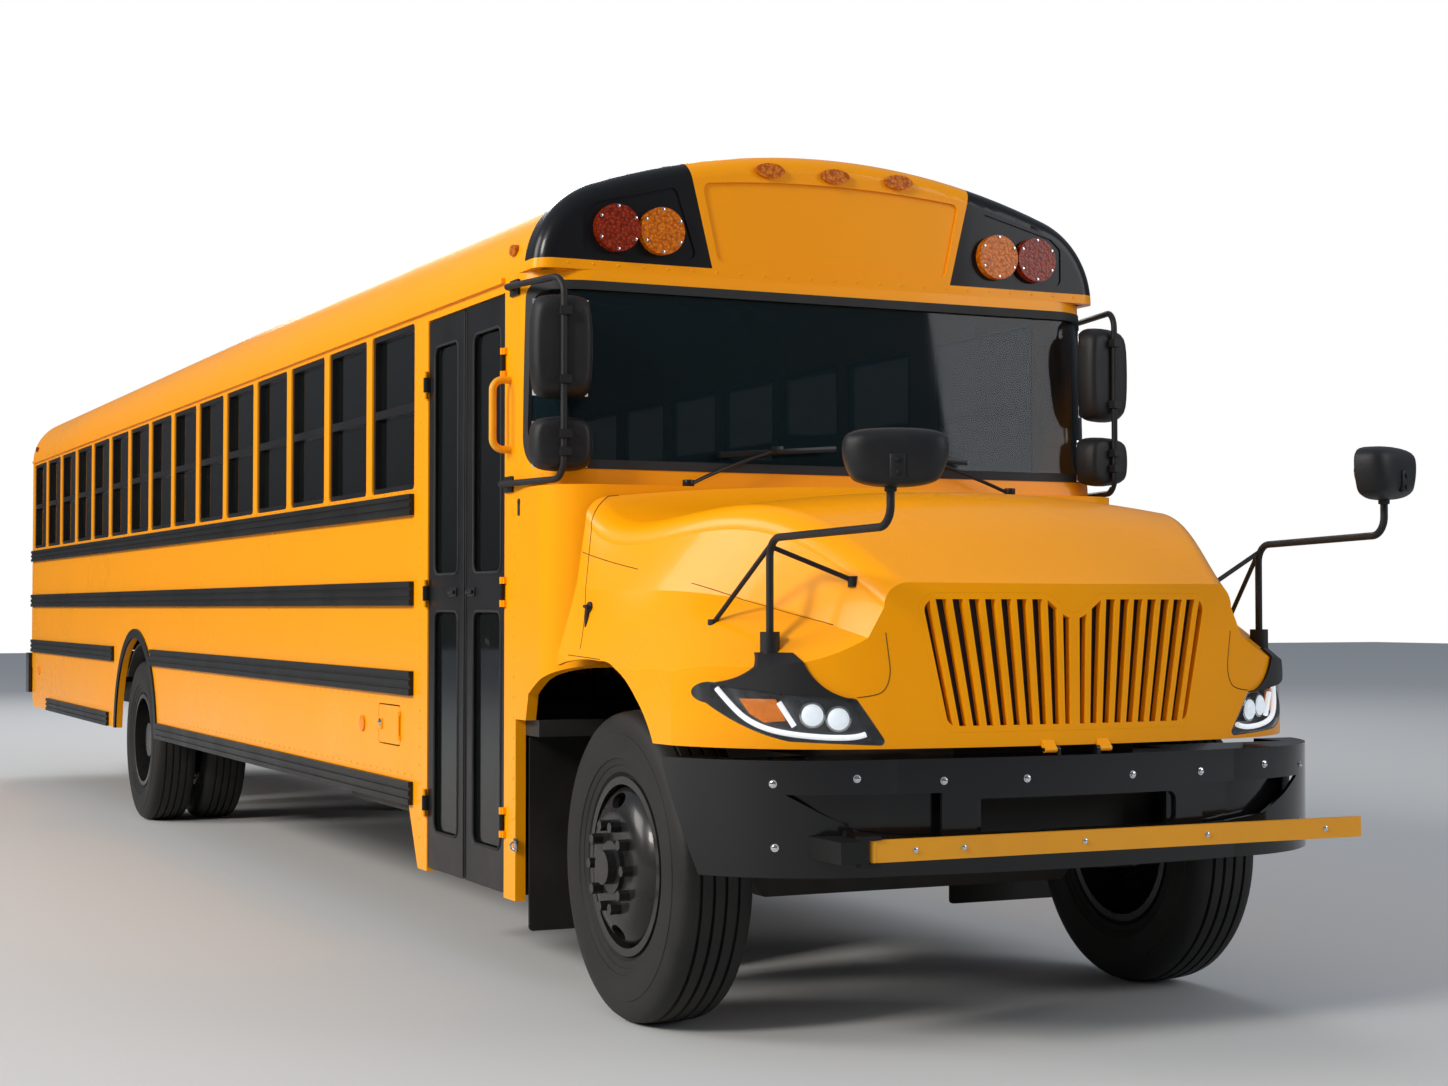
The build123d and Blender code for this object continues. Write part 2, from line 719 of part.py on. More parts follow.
with BuildPart() as front_bumper:
    extrude(bumper_plan(bumper_low_z, 0), amount=bumper_top_z - bumper_low_z)
    extrude(
        bumper_plan(bumper_low_z + bumper_wall, bumper_wall),
        amount=bumper_top_z - bumper_low_z - 2 * bumper_wall,
        mode=Mode.SUBTRACT,
    )
    with BuildSketch(Plane.XY.offset(bumper_low_z - 1)):
        with Locations((0, bumper_y + 190)):
            Rectangle(2 * frame_half + 60, 1000, align=(Align.CENTER, Align.MIN))
        with Locations((0, bumper_end_y)):
            Rectangle(4 * bumper_half, 1000, align=(Align.CENTER, Align.MIN))
        with Locations((0, bumper_y + 330)):
            Rectangle(2 * bumper_half - 330, 1000, align=(Align.CENTER, Align.MIN))
    extrude(amount=1000, mode=Mode.SUBTRACT)
    with BuildSketch(Plane.YZ.offset(-2 * bumper_half)):
        Polygon(
            (bumper_end_y + 13, bumper_top_z),
            (bumper_end_y - 140, bumper_low_z),
            (bumper_end_y + 500, bumper_low_z - 60),
            (bumper_end_y + 500, bumper_top_z + 60),
            align=None,
        )
    extrude(amount=4 * bumper_half, mode=Mode.SUBTRACT)
    with BuildSketch(Plane.XZ.offset(-bumper_y + 40)):
        with Locations((0, 755)):
            RectangleRounded(760, 105, 30)
    extrude(amount=-120, mode=Mode.SUBTRACT)
    for side in (-1, 1):
        with BuildSketch(Plane.XZ.offset(-bumper_y + 40)):
            Polygon(*[(side * x, z) for x, z in pocket_points], align=None)
        extrude(amount=-pocket_reach, mode=Mode.SUBTRACT)
    add(bumper_backing)
    for side in (-1, 1):
        with BuildSketch(Plane.XY.offset(frame_low_z + 20)):
            with Locations((side * (frame_half - frame_flange / 2), bumper_y + 32)):
                Rectangle(frame_flange, frame_front_y - bumper_y - 32, align=(Align.CENTER, Align.MIN))
        extrude(amount=frame_top_z - frame_low_z - 40)
        with BuildSketch(Plane.YZ.offset(side * (hood_lug_x - hood_lug_half - 1))):
            with Locations((hood_pivot_y, hood_pivot_z)):
                Circle(hood_lug_radius)
            with Locations((hood_pivot_y, bumper_top_z - 2)):
                Rectangle(
                    2 * hood_lug_radius, hood_pivot_z - bumper_top_z + 2, align=(Align.CENTER, Align.MIN)
                )
        extrude(amount=-12 * side)
        with BuildSketch(Plane.YZ.offset(side * (hood_lug_x - hood_lug_half - 1))):
            with Locations((hood_pivot_y, hood_pivot_z)):
                Circle(hood_pin_radius)
        extrude(amount=side * (2 * hood_lug_half + 6))
keep("front_bumper", front_bumper.part)

with BuildPart() as rear_bumper:
    with BuildSketch(Plane.XY.offset(rear_bumper_low_z)):
        with Locations((0, rear_y - 140)):
            RectangleRounded(2 * half_width + 60, 2 * (overall_length / 2 - rear_y + 140), 110)
        with Locations((0, rear_y)):
            Rectangle(2 * half_width + 1, 2000, align=(Align.CENTER, Align.MAX), mode=Mode.SUBTRACT)
        with Locations((0, rear_y - 140)):
            Rectangle(3 * half_width, 1000, align=(Align.CENTER, Align.MAX), mode=Mode.SUBTRACT)
    extrude(amount=rear_bumper_top_z - rear_bumper_low_z)
keep("rear_bumper", rear_bumper.part)

# Hood sections: y behind the body's front corner, crown z, shoulder x and z, crease x and z,
# fender crest x and z, fender edge x and z
hood_rows = (
    (-306, 1852, 1112, 1798, 1145, 1490, 1182, 1352, 1219, 1234),
    (-1000, 1802, 905, 1745, 985, 1450, 1095, 1345, 1195, 1200),
    (-1400, 1690, 745, 1648, 800, 1375, 1000, 1268, 1165, 1150),
    (-1560, 1585, 690, 1552, 738, 1330, 950, 1205, 1150, 1095),
    (-1750, 1460, 645, 1440, 695, 1290, 900, 1160, 1100, 1060),
)
nose_points = ((640, 55), (1030, 265), (hood_half, 600))


def hood_section(row, inset, low):
    y, crown_z, x1, z1, x2, z2, x3, z3, x4, z4 = row
    x1, x2, x4 = x1 - inset, x2 - inset, x4 - inset
    x3 = x3 - inset * 0.6
    crown_z, z1, z3 = crown_z - inset, z1 - inset, z3 - inset * 0.8
    z2, z4 = z2 - inset * 0.7, z4 - inset * 0.5
    y = cab_y + y + (inset if y > -400 else 0) * 0.5
    with BuildSketch(Plane.XZ.offset(-y)) as section:
        with BuildLine():
            ThreePointArc((-x1 + 82, z1), (0, crown_z), (x1 - 82, z1))
            ThreePointArc((x1 - 82, z1), (x1 - 22, z1 - 28), (x1, z1 - 86))
            Line((x1, z1 - 86), (x2, z2))
            ThreePointArc((x2, z2), (x3, z3), (x4, z4))
            Line((x4, z4), (x4, low))
            Line((x4, low), (-x4, low))
            Line((-x4, low), (-x4, z4))
            ThreePointArc((-x4, z4), (-x3, z3), (-x2, z2))
            Line((-x2, z2), (-x1, z1 - 86))
            ThreePointArc((-x1, z1 - 86), (-x1 + 22, z1 - 28), (-x1 + 82, z1))
        make_face()
    return section.sketch


def nose_plan(inset, low, height):
    # Plan of the hood: a bowed front between rounded corners, straight sides back to the cowl.
    (x1, y1), (x2, y2), (x3, y3) = nose_points
    front = nose_y + inset
    x3 = x3 - inset
    x2, y2 = x2 - 0.7 * inset, nose_y + y2 + 0.7 * inset
    y3 = nose_y + y3
    back = half_width - inset
    with BuildSketch(Plane.XY.offset(low)) as plan:
        with BuildLine():
            ThreePointArc((-x1, front + y1), (0, front), (x1, front + y1))
            ThreePointArc((x1, front + y1), (x2, y2), (x3, y3))
            Line((x3, y3), (back, hood_rear_y + inset))
            Line((back, hood_rear_y + inset), (-back, hood_rear_y + inset))
            Line((-back, hood_rear_y + inset), (-x3, y3))
            ThreePointArc((-x3, y3), (-x2, y2), (-x1, front + y1))
        make_face()
    return extrude(plan.sketch, amount=height, mode=Mode.PRIVATE)


def hood_shape(inset, low):
    body = loft([hood_section(row, inset, low) for row in hood_rows], mode=Mode.PRIVATE)
    return body & nose_plan(inset, low - 10, 1200)


hood_outer = hood_shape(0, hood_low_z)
hood_inner = hood_shape(hood_wall, hood_low_z - 20)
lamp_inner = hood_shape(70, hood_low_z - 20)

grille_points = (
    (-grille_top_half, grille_top_z),
    (-notch_half, grille_top_z),
    (0, notch_z),
    (notch_half, grille_top_z),
    (grille_top_half, grille_top_z),
    (grille_low_half, grille_low_z),
    (-grille_low_half, grille_low_z),
)


def grille_block(shrink, near, far):
    # The grille's opening as a block along the bus, between two distances behind the nose.
    with BuildSketch(Plane.XZ.offset(-nose_y - near)) as outline:
        Polygon(*grille_points, align=None)
        corners = outline.vertices().filter_by(lambda v: abs(v.Y) > notch_half + 50)
        fillet(corners, grille_corner)
        if shrink:
            offset(amount=-shrink)
    return extrude(outline.sketch, amount=-(far - near), mode=Mode.PRIVATE)


# Headlamp outline seen from the front, from its low inner corner round to the outer tip
lamp_depth = 500


def lamp_block(side, shrink):
    with BuildSketch(Plane.XZ.offset(-nose_y + 50)) as outline:
        with BuildLine():
            Polyline((side * 648, 974), (side * 748, 1121), (side * 965, 1139), (side * 1090, 1162))
            ThreePointArc((side * 1090, 1162), (side * 1142, 1150), (side * 1119, 1104))
            ThreePointArc((side * 1119, 1104), (side * 1040, 1034), (side * 930, 988))
            Line((side * 930, 988), (side * 648, 974))
        make_face()
        fillet(outline.vertices().filter_by(lambda v: abs(v.X) < 800), 14)
        if shrink:
            offset(amount=-shrink)
    return extrude(outline.sketch, amount=-lamp_depth, mode=Mode.PRIVATE)


with BuildPart() as hood_shell:
    add(hood_outer)
    add(hood_inner, mode=Mode.SUBTRACT)
    add(arch_cutter, mode=Mode.SUBTRACT)
    add(grille_block(0, -60, 200), mode=Mode.SUBTRACT)
    for side in (-1, 1):
        add(lamp_block(side, 0), mode=Mode.SUBTRACT)
    for side in (-1, 1):
        with BuildSketch(Plane.YZ.offset(side * (hood_lug_x - hood_lug_half))):
            with Locations((hood_pivot_y, hood_pivot_z)):
                Circle(hood_lug_radius)
            Polygon(
                (hood_pivot_y, hood_pivot_z - 6),
                (nose_y + 10, hood_low_z + 2),
                (nose_y + 10, hood_low_z + 28),
                (hood_pivot_y - 4, hood_pivot_z + 9),
                align=None,
            )
            with Locations((hood_pivot_y, hood_pivot_z)):
                Circle(hood_pin_radius + hinge_fit, mode=Mode.SUBTRACT)
        extrude(amount=2 * hood_lug_half * side)
keep("hood_shell", hood_shell.part)

with BuildPart() as headlights:
    for side in (-1, 1):
        lamp = hood_outer & lamp_block(side, clearance)
        add(lamp - lamp_inner)
keep("headlights", headlights.part)

# Grille: a frame round the opening with bars that lean like its ends, and a dark screen behind them
grille_skin = nose_plan(0, hood_low_z, 700) - nose_plan(bar_depth, hood_low_z - 5, 710)
with BuildPart() as grille:
    frame_block = grille_block(clearance, -60, 200) - grille_block(20, -61, 201)
    add(frame_block & grille_skin)
    for i in range(-bar_count, bar_count + 1):
        top_x = i * grille_top_half / (bar_count + 1)
        low_x = i * grille_low_half / (bar_count + 1)
        thick = bar_width * (1.8 if i == 0 else 1)
        with BuildSketch(Plane.XZ.offset(-nose_y + 60), mode=Mode.PRIVATE) as bar:
            Polygon(
                (top_x - thick / 2, grille_top_z),
                (top_x + thick / 2, grille_top_z),
                (low_x + thick / 2, grille_low_z),
                (low_x - thick / 2, grille_low_z),
                align=None,
            )
        add(extrude(bar.sketch, amount=-300, mode=Mode.PRIVATE) & grille_block(10, -60, 200) & grille_skin)
keep("grille", grille.part)

screen_depth = 8
with BuildPart() as grille_screen:
    sheet = nose_plan(bar_depth + clearance, hood_low_z + 20, 700)
    sheet = sheet - nose_plan(bar_depth + clearance + screen_depth, hood_low_z + 10, 720)
    add(sheet & grille_block(-14, -60, 260))
keep("grille_screen", grille_screen.part)

# Cross-view mirrors ahead of the nose: a moulded brow over each headlamp with a socket, a post, a boom
# and two braces
mirror_tube = 12
brace_radius = 8
socket_x = 950
socket_y = cab_y - 1446
socket_low_z = 1180
socket_high_z = 1326
brow_skin = 10
boom_z = 1618
brace_top_z = boom_z - 25
brace_feet = ((1022, cab_y - 1181, 1350), (699, cab_y - 1528, 1486))
eye_x = 897
eye_y = cab_y - 2146.6
eye_z = 1832
eye_turn = radians(25)


def tube(points, radius, bends):
    with BuildLine() as path:
        if len(points) > 2:
            FilletPolyline(*points, radius=bends)
        else:
            Line(*points)
    start = points[0]
    direction = Vector(*points[1]) - Vector(*start)
    with BuildSketch(Plane(origin=start, z_dir=direction)) as ring:
        Circle(radius)
    return sweep(ring.sketch, path=path.line, mode=Mode.PRIVATE)


def brow_block(side):
    # The brow's outline seen from the front: along the lamp's upper edge and up to the socket.
    with BuildSketch(Plane.XZ.offset(-nose_y + 50)) as outline:
        with BuildLine():
            Polyline((side * 1135, 1166), (side * 965, 1137), (side * 757, 1119))
            ThreePointArc((side * 757, 1119), (side * 856, 1166), (side * 908, 1262))
            Line((side * 908, 1262), (side * 992, 1262))
            ThreePointArc((side * 992, 1262), (side * 1044, 1194), (side * 1135, 1166))
        make_face()
    return extrude(outline.sketch, amount=-400, mode=Mode.PRIVATE)


def eye_shell(side):
    # A bowl with its back to the front, flat on top and narrower below.
    place = Plane(
        origin=(side * eye_x, eye_y, eye_z),
        x_dir=(cos(eye_turn), side * sin(eye_turn), 0),
        z_dir=(side * sin(eye_turn), -cos(eye_turn), 0),
    )
    outlines = []
    for ahead, size in ((-45, 1), (10, 1), (66, 0.66)):
        with BuildSketch(place.offset(ahead)) as outline:
            Polygon(
                (-158 * size, 85 * size),
                (158 * size, 85 * size),
                (150 * size, -40 * size),
                (95 * size, -88 * size),
                (-95 * size, -88 * size),
                (-150 * size, -40 * size),
                align=None,
            )
            fillet(outline.vertices(), 30 * size)
        outlines.append(outline.sketch)
    rim = loft(outlines[:2], mode=Mode.PRIVATE)
    return rim + loft(outlines[1:], mode=Mode.PRIVATE)


brow_outer = hood_shape(-brow_skin, hood_low_z)
with BuildPart() as cross_view_mirrors:
    for side in (-1, 1):
        add(brow_outer & brow_block(side))
        with BuildSketch(Plane.XY.offset(socket_low_z)):
            with Locations((side * socket_x, socket_y)):
                Circle(31)
        extrude(amount=socket_high_z - socket_low_z)
        for foot in brace_feet:
            brace = [(side * socket_x, socket_y, brace_top_z), (side * foot[0], foot[1], foot[2])]
            add(tube(brace, brace_radius, 0))
            with BuildSketch(Plane.XY.offset(foot[2] - 20)):
                with Locations((side * foot[0], foot[1])):
                    Circle(17)
            extrude(amount=34)
    add(hood_outer, mode=Mode.SUBTRACT)
    for side in (-1, 1):
        boom = [
            (side * socket_x, socket_y, socket_high_z - 4),
            (side * socket_x, socket_y, boom_z),
            (side * 905, eye_y + 16, boom_z + 16),
            (side * 905, eye_y + 16, eye_z - 60),
        ]
        add(tube(boom, mirror_tube, 60))
        add(eye_shell(side))
keep("cross_view_mirrors", cross_view_mirrors.part)

# Mirrors beside the windshield
pole_x = 1180
pole_y = cab_y - 265
pole_low_z = 1860
pole_high_z = 2588
arm_y = (cab_y + 130, cab_y + 190)
housing_turn = radians(12)
housing_width = 235
# low z, high z and depth of each housing
housing_rows = ((2145, 2531, 88), (1888, 2090, 98))


def mirror_housing(side, low, high, depth):
    # A shell behind the pole that narrows to the front, with two clamps round the pole.
    place = Plane(
        origin=(side * (pole_x - 4), pole_y + mirror_tube - 2, (low + high) / 2),
        x_dir=(cos(housing_turn), side * sin(housing_turn), 0),
        z_dir=(-side * sin(housing_turn), cos(housing_turn), 0),
    )
    outlines = []
    for back, shrink in ((0, 46), (0.42 * depth, 8), (depth, 0)):
        with BuildSketch(place.offset(back)) as outline:
            RectangleRounded(housing_width - shrink, high - low - shrink, 34)
        outlines.append(outline.sketch)
    shell = loft(outlines[:2], mode=Mode.PRIVATE) + loft(outlines[1:], mode=Mode.PRIVATE)
    with BuildSketch(place.offset(2)) as clamps:
        with Locations((4, (high - low) / 2 - 70), (4, 70 - (high - low) / 2)):
            Rectangle(42, 30)
    return shell + extrude(clamps.sketch, amount=-2 * mirror_tube - 8, mode=Mode.PRIVATE)


with BuildPart() as side_mirrors:
    for side in (-1, 1):
        arm = [
            (side * (half_width + 5), arm_y[0], pole_high_z),
            (side * (half_width + 45), arm_y[0], pole_high_z),
            (side * pole_x, pole_y, pole_high_z),
            (side * pole_x, pole_y, pole_low_z),
            (side * (half_width + 45), arm_y[1], pole_low_z),
            (side * (half_width + 5), arm_y[1], pole_low_z),
        ]
        add(tube(arm, mirror_tube, (22, 70, 70, 22)))
        for (y, z) in zip(arm_y, (pole_high_z, pole_low_z)):
            with BuildSketch(Plane.YZ.offset(side * half_width)):
                with Locations((y, z)):
                    RectangleRounded(90, 60, 8)
            extrude(amount=8 * side)
        for low, high, depth in housing_rows:
            add(mirror_housing(side, low, high, depth))
keep("side_mirrors", side_mirrors.part)


# Frame: two channel rails with cross members, and hangers for the springs
cross_offsets = (-880, 1560, 2800, 4050, 5300, 6550, 7500, 8900, 10200, 11500, 12700)
cross_ys = [front_axle_y + offset for offset in cross_offsets]
frame_rear_y = rear_y
tow_x = frame_half - frame_flange / 2
tow_radius = 20
tow_plate = 25
frame_mid_z = (frame_low_z + frame_top_z) / 2
frame_height = frame_top_z - frame_low_z
with BuildPart() as chassis_frame:
    with BuildSketch(Plane.XZ.offset(-frame_rear_y)):
        for side in (-1, 1):
            with Locations((side * (frame_half - frame_flange / 2), frame_mid_z)):
                Rectangle(frame_flange, frame_height)
            with Locations((side * (frame_half - frame_flange / 2 - frame_wall), frame_mid_z)):
                Rectangle(frame_flange, frame_height - 2 * frame_wall, mode=Mode.SUBTRACT)
    extrude(amount=frame_rear_y - frame_front_y)
    with BuildSketch(Plane.XY.offset(frame_low_z + 70)):
        for y in cross_ys:
            with Locations((0, y)):
                Rectangle(2 * (frame_half - frame_wall), 90)
    extrude(amount=110)
    with BuildSketch(Plane.XY.offset(frame_low_z)):
        for side in (-1, 1):
            with Locations((side * tow_x, rear_y - 90)):
                Rectangle(frame_flange, 320)
            with Locations((side * tow_x, rear_y + 35)):
                Circle(tow_radius, mode=Mode.SUBTRACT)
    extrude(amount=-tow_plate)
keep("chassis_frame", chassis_frame.part)

# Engine with its gearbox, and the radiator ahead of it
with BuildPart() as engine_block:
    with BuildSketch(Plane.XY.offset(700)):
        with Locations((0, cab_y - 870)):
            Rectangle(560, 960)
    extrude(amount=700)
    with BuildSketch(Plane.XY.offset(540)):
        with Locations((0, cab_y + 200)):
            Rectangle(420, 1180)
    extrude(amount=330)
    with BuildSketch(Plane.XY.offset(frame_low_z + 180)):
        with Locations((0, cab_y - 1500)):
            Rectangle(690, 90)
    extrude(amount=600)
    for side in (-1, 1):
        with BuildSketch(Plane.XY.offset(760)):
            with Locations((side * 350, cab_y - 870)):
                Rectangle(2 * (frame_half - frame_wall - 350), 120)
        extrude(amount=60)
keep("engine_block", engine_block.part)

# Front axle beam with its kingpin eyes
pin_fit = 0.05
eye_low_z = 470
eye_high_z = 584
with BuildPart() as front_axle:
    with BuildSketch(Plane.XZ.offset(-front_axle_y + 45)):
        Polygon(
            (-kingpin_x, eye_low_z + 10),
            (-690, eye_low_z + 10),
            (-610, 400),
            (610, 400),
            (690, eye_low_z + 10),
            (kingpin_x, eye_low_z + 10),
            (kingpin_x, eye_high_z - 10),
            (700, eye_high_z - 10),
            (600, 510),
            (-600, 510),
            (-700, eye_high_z - 10),
            (-kingpin_x, eye_high_z - 10),
            align=None,
        )
    extrude(amount=-90)
    for side in (-1, 1):
        with BuildSketch(Plane.XY.offset(eye_low_z)):
            with Locations((side * kingpin_x, front_axle_y)):
                Circle(52)
        extrude(amount=eye_high_z - eye_low_z)
    for side in (-1, 1):
        with BuildSketch(Plane.XY.offset(eye_low_z - 1)):
            with Locations((side * kingpin_x, front_axle_y)):
                Circle(kingpin_radius + pin_fit)
        extrude(amount=eye_high_z - eye_low_z + 2, mode=Mode.SUBTRACT)
keep("front_axle", front_axle.part)

# Steering knuckles: a yoke round the eye, its kingpin and the wheel's spindle
yoke_gap = 6
yoke_plate = 32
spindle_end = 290              # from the kingpin
spindle_fit = 0.05
for name, side in (("left", 1), ("right", -1)):
    with BuildPart() as knuckle:
        for low in (eye_low_z - yoke_gap - yoke_plate, eye_high_z + yoke_gap):
            with BuildSketch(Plane.XY.offset(low)):
                with Locations((side * kingpin_x, front_axle_y)):
                    Circle(50)
                with Locations((side * (kingpin_x + 45), front_axle_y)):
                    Rectangle(90, 100)
            extrude(amount=yoke_plate)
        with BuildSketch(Plane.XY.offset(eye_low_z - yoke_gap - yoke_plate)):
            with Locations((side * (kingpin_x + 75), front_axle_y)):
                Rectangle(30, 100)
        extrude(amount=eye_high_z - eye_low_z + 2 * (yoke_gap + yoke_plate))
        with BuildSketch(Plane.XY.offset(eye_low_z - yoke_gap - yoke_plate)):
            with Locations((side * kingpin_x, front_axle_y)):
                Circle(kingpin_radius)
        extrude(amount=eye_high_z - eye_low_z + 2 * (yoke_gap + yoke_plate))
        with BuildSketch(Plane.YZ.offset(side * (kingpin_x + 75))):
            with Locations((front_axle_y, tyre_radius)):
                Circle(spindle_radius)
        extrude(amount=side * (spindle_end - 75))
    keep("knuckle_" + name, knuckle.part)


# Tyres and rims: profiles in distance from the wheel's middle plane and radius, turned about the axle
tyre_points = (
    (105, bead_radius),
    (105, 305),
    (134, 365),
    (140, 430),
    (125, 500),
    (82, tyre_radius),
    (-82, tyre_radius),
    (-125, 500),
    (-140, 430),
    (-134, 365),
    (-105, 305),
    (-105, bead_radius),
)


def tyre_profile(x, y):
    with BuildSketch(Plane.XY.offset(tyre_radius)) as profile:
        Polygon(*[(x + out, y + radius) for out, radius in tyre_points], align=None)
    return revolve(profile.sketch, axis=Axis((0, y, tyre_radius), (1, 0, 0)), mode=Mode.PRIVATE)


rim_wall = 10
rim_half = 117
flange_radius = 302
disc_out = 150                 # from the rim's middle to the outer face of its disc
disc_wall = 14


def rim_profile(x, y, out):
    # out is 1 where the disc bulges towards +X and -1 towards -X.
    barrel = bead_radius - clearance
    inner = barrel - rim_wall
    disc_in = disc_out - disc_wall
    with BuildSketch(Plane.XY.offset(tyre_radius)) as profile:
        with BuildLine():
            Polyline(
                (x + out * 50, y + inner),
                (x - out * rim_half, y + inner),
                (x - out * rim_half, y + flange_radius),
                (x - out * 105.5, y + flange_radius),
                (x - out * 105.5, y + barrel),
                (x + out * 105.5, y + barrel),
                (x + out * 105.5, y + flange_radius),
                (x + out * rim_half, y + flange_radius),
                (x + out * rim_half, y + inner),
                (x + out * 80, y + inner),
            )
            ThreePointArc((x + out * 80, y + inner), (x + out * 132, y + 232), (x + out * disc_out, y + 172))
            Polyline(
                (x + out * disc_out, y + 172),
                (x + out * disc_out, y + 80),
                (x + out * disc_in, y + 80),
                (x + out * disc_in, y + 165),
            )
            ThreePointArc((x + out * disc_in, y + 165), (x + out * 113, y + 222), (x + out * 50, y + inner))
        make_face()
    return revolve(profile.sketch, axis=Axis((0, y, tyre_radius), (1, 0, 0)), mode=Mode.PRIVATE)


hand_hole = (26, 48)
hand_circle = 222
nut_size = 19
nut_length = 38
for name, side in (("left", 1), ("right", -1)):
    x = side * front_track_half
    with BuildPart() as tyre:
        add(tyre_profile(x, front_axle_y))
    keep("front_tyre_" + name, tyre.part)
    with BuildPart() as rim:
        add(rim_profile(x, front_axle_y, side))
        with BuildSketch(Plane.YZ.offset(side * (kingpin_x + 120))):
            with Locations((front_axle_y, tyre_radius)):
                Circle(100)
        extrude(amount=side * (abs(x) + disc_out - disc_wall - kingpin_x - 120))
        with BuildSketch(Plane.YZ.offset(x + side * (disc_out - disc_wall))):
            with Locations((front_axle_y, tyre_radius)):
                Circle(88)
        extrude(amount=side * 30)
        with BuildSketch(Plane.YZ.offset(x + side * (disc_out - disc_wall))):
            with Locations((front_axle_y, tyre_radius)):
                Circle(58)
        extrude(amount=side * 62)
        with BuildSketch(Plane.YZ.offset(x + side * disc_out)):
            with Locations((front_axle_y, tyre_radius)):
                with PolarLocations(stud_circle, studs):
                    RegularPolygon(nut_size, 6)
        extrude(amount=side * nut_length)
        with BuildSketch(Plane.YZ.offset(side * kingpin_x)):
            with Locations((front_axle_y, tyre_radius)):
                Circle(spindle_radius + spindle_fit)
        extrude(amount=side * (spindle_end + 6), mode=Mode.SUBTRACT)
        with BuildSketch(Plane.YZ.offset(x)):
            with Locations((front_axle_y, tyre_radius)):
                with PolarLocations(hand_circle, 2, start_angle=90):
                    Ellipse(*hand_hole)
        extrude(amount=side * 250, mode=Mode.SUBTRACT)
    keep("front_rim_" + name, rim.part)

    with BuildPart() as tyres:
        for x in (dual_outer, dual_inner):
            add(tyre_profile(side * x, rear_axle_y))
    keep("rear_tyres_" + name, tyres.part)
    disc_x = dual_outer - disc_out
    with BuildPart() as rims:
        add(rim_profile(side * dual_outer, rear_axle_y, -side))
        add(rim_profile(side * dual_inner, rear_axle_y, side))
        with BuildSketch(Plane.YZ.offset(side * (dual_inner + disc_out - disc_wall - 60))):
            with Locations((rear_axle_y, tyre_radius)):
                Circle(110)
        extrude(amount=side * 330)
        with BuildSketch(Plane.YZ.offset(side * (dual_inner + disc_out - 1))):
            with Locations((rear_axle_y, tyre_radius)):
                Circle(170)
        extrude(amount=side * (disc_x - dual_inner - disc_out + 2))
        with BuildSketch(Plane.YZ.offset(side * disc_x)):
            with Locations((rear_axle_y, tyre_radius)):
                with PolarLocations(stud_circle, studs):
                    RegularPolygon(nut_size, 6)
        extrude(amount=side * nut_length)
        with BuildSketch(Plane.YZ.offset(side * dual_inner)):
            with Locations((rear_axle_y, tyre_radius)):
                Circle(spindle_radius + spindle_fit)
        extrude(amount=side * 350, mode=Mode.SUBTRACT)
    keep("rear_rims_" + name, rims.part)

# Rear axle housing with its differential and spindles
rear_spindle_start = dual_inner + disc_out - disc_wall - 80
rear_spindle_end = dual_inner + 345
with BuildPart() as rear_axle:
    with BuildSketch(Plane.YZ.offset(-rear_spindle_start)):
        with Locations((rear_axle_y, tyre_radius)):
            Circle(65)
    extrude(amount=2 * rear_spindle_start)
    with BuildSketch(Plane.YZ.offset(-rear_spindle_end)):
        with Locations((rear_axle_y, tyre_radius)):
            Circle(spindle_radius)
    extrude(amount=2 * rear_spindle_end)
    with BuildSketch(Plane.YZ.offset(-110)):
        with Locations((rear_axle_y, tyre_radius)):
            Circle(205)
    extrude(amount=220)
    fillet(rear_axle.edges().filter_by(GeomType.CIRCLE).filter_by(lambda e: e.radius > 200), 60)
    with BuildSketch(Plane.XZ.offset(-rear_axle_y)):
        with Locations((0, tyre_radius)):
            Circle(90)
    extrude(amount=330)
keep("rear_axle", rear_axle.part)

# Drive shaft from the gearbox to the differential
shaft_radius = 50
shaft_front_z = 620
shaft_slope = (shaft_front_z - tyre_radius) / (rear_axle_y - 330 - cab_y - 790)
shaft_gap = clearance + shaft_radius * shaft_slope
shaft_front = Vector(0, cab_y + 790 + shaft_gap, shaft_front_z)
shaft_back = Vector(0, rear_axle_y - 330 - shaft_gap, tyre_radius)
with BuildPart() as drive_shaft:
    with BuildSketch(Plane(origin=shaft_front, z_dir=shaft_back - shaft_front)):
        Circle(shaft_radius)
    extrude(amount=(shaft_back - shaft_front).length)
keep("drive_shaft", drive_shaft.part)

# Leaf springs with their hangers: under the rails in front, outside them at the rear
leaf_width = 72
leaf_stack = 44


def spring(x, y, seat_z, end_z, reach):
    with BuildSketch(Plane.YZ.offset(x - leaf_width / 2)) as outline:
        with BuildLine():
            ThreePointArc((y - reach, end_z), (y, seat_z), (y + reach, end_z))
            Line((y + reach, end_z), (y + reach, end_z + 14))
            ThreePointArc((y + reach, end_z + 14), (y, seat_z + leaf_stack), (y - reach, end_z + 14))
            Line((y - reach, end_z + 14), (y - reach, end_z))
        make_face()
        for end in (-1, 1):
            with Locations((y + end * reach, end_z + 7)):
                Circle(28)
    return extrude(outline.sketch, amount=leaf_width, mode=Mode.PRIVATE)


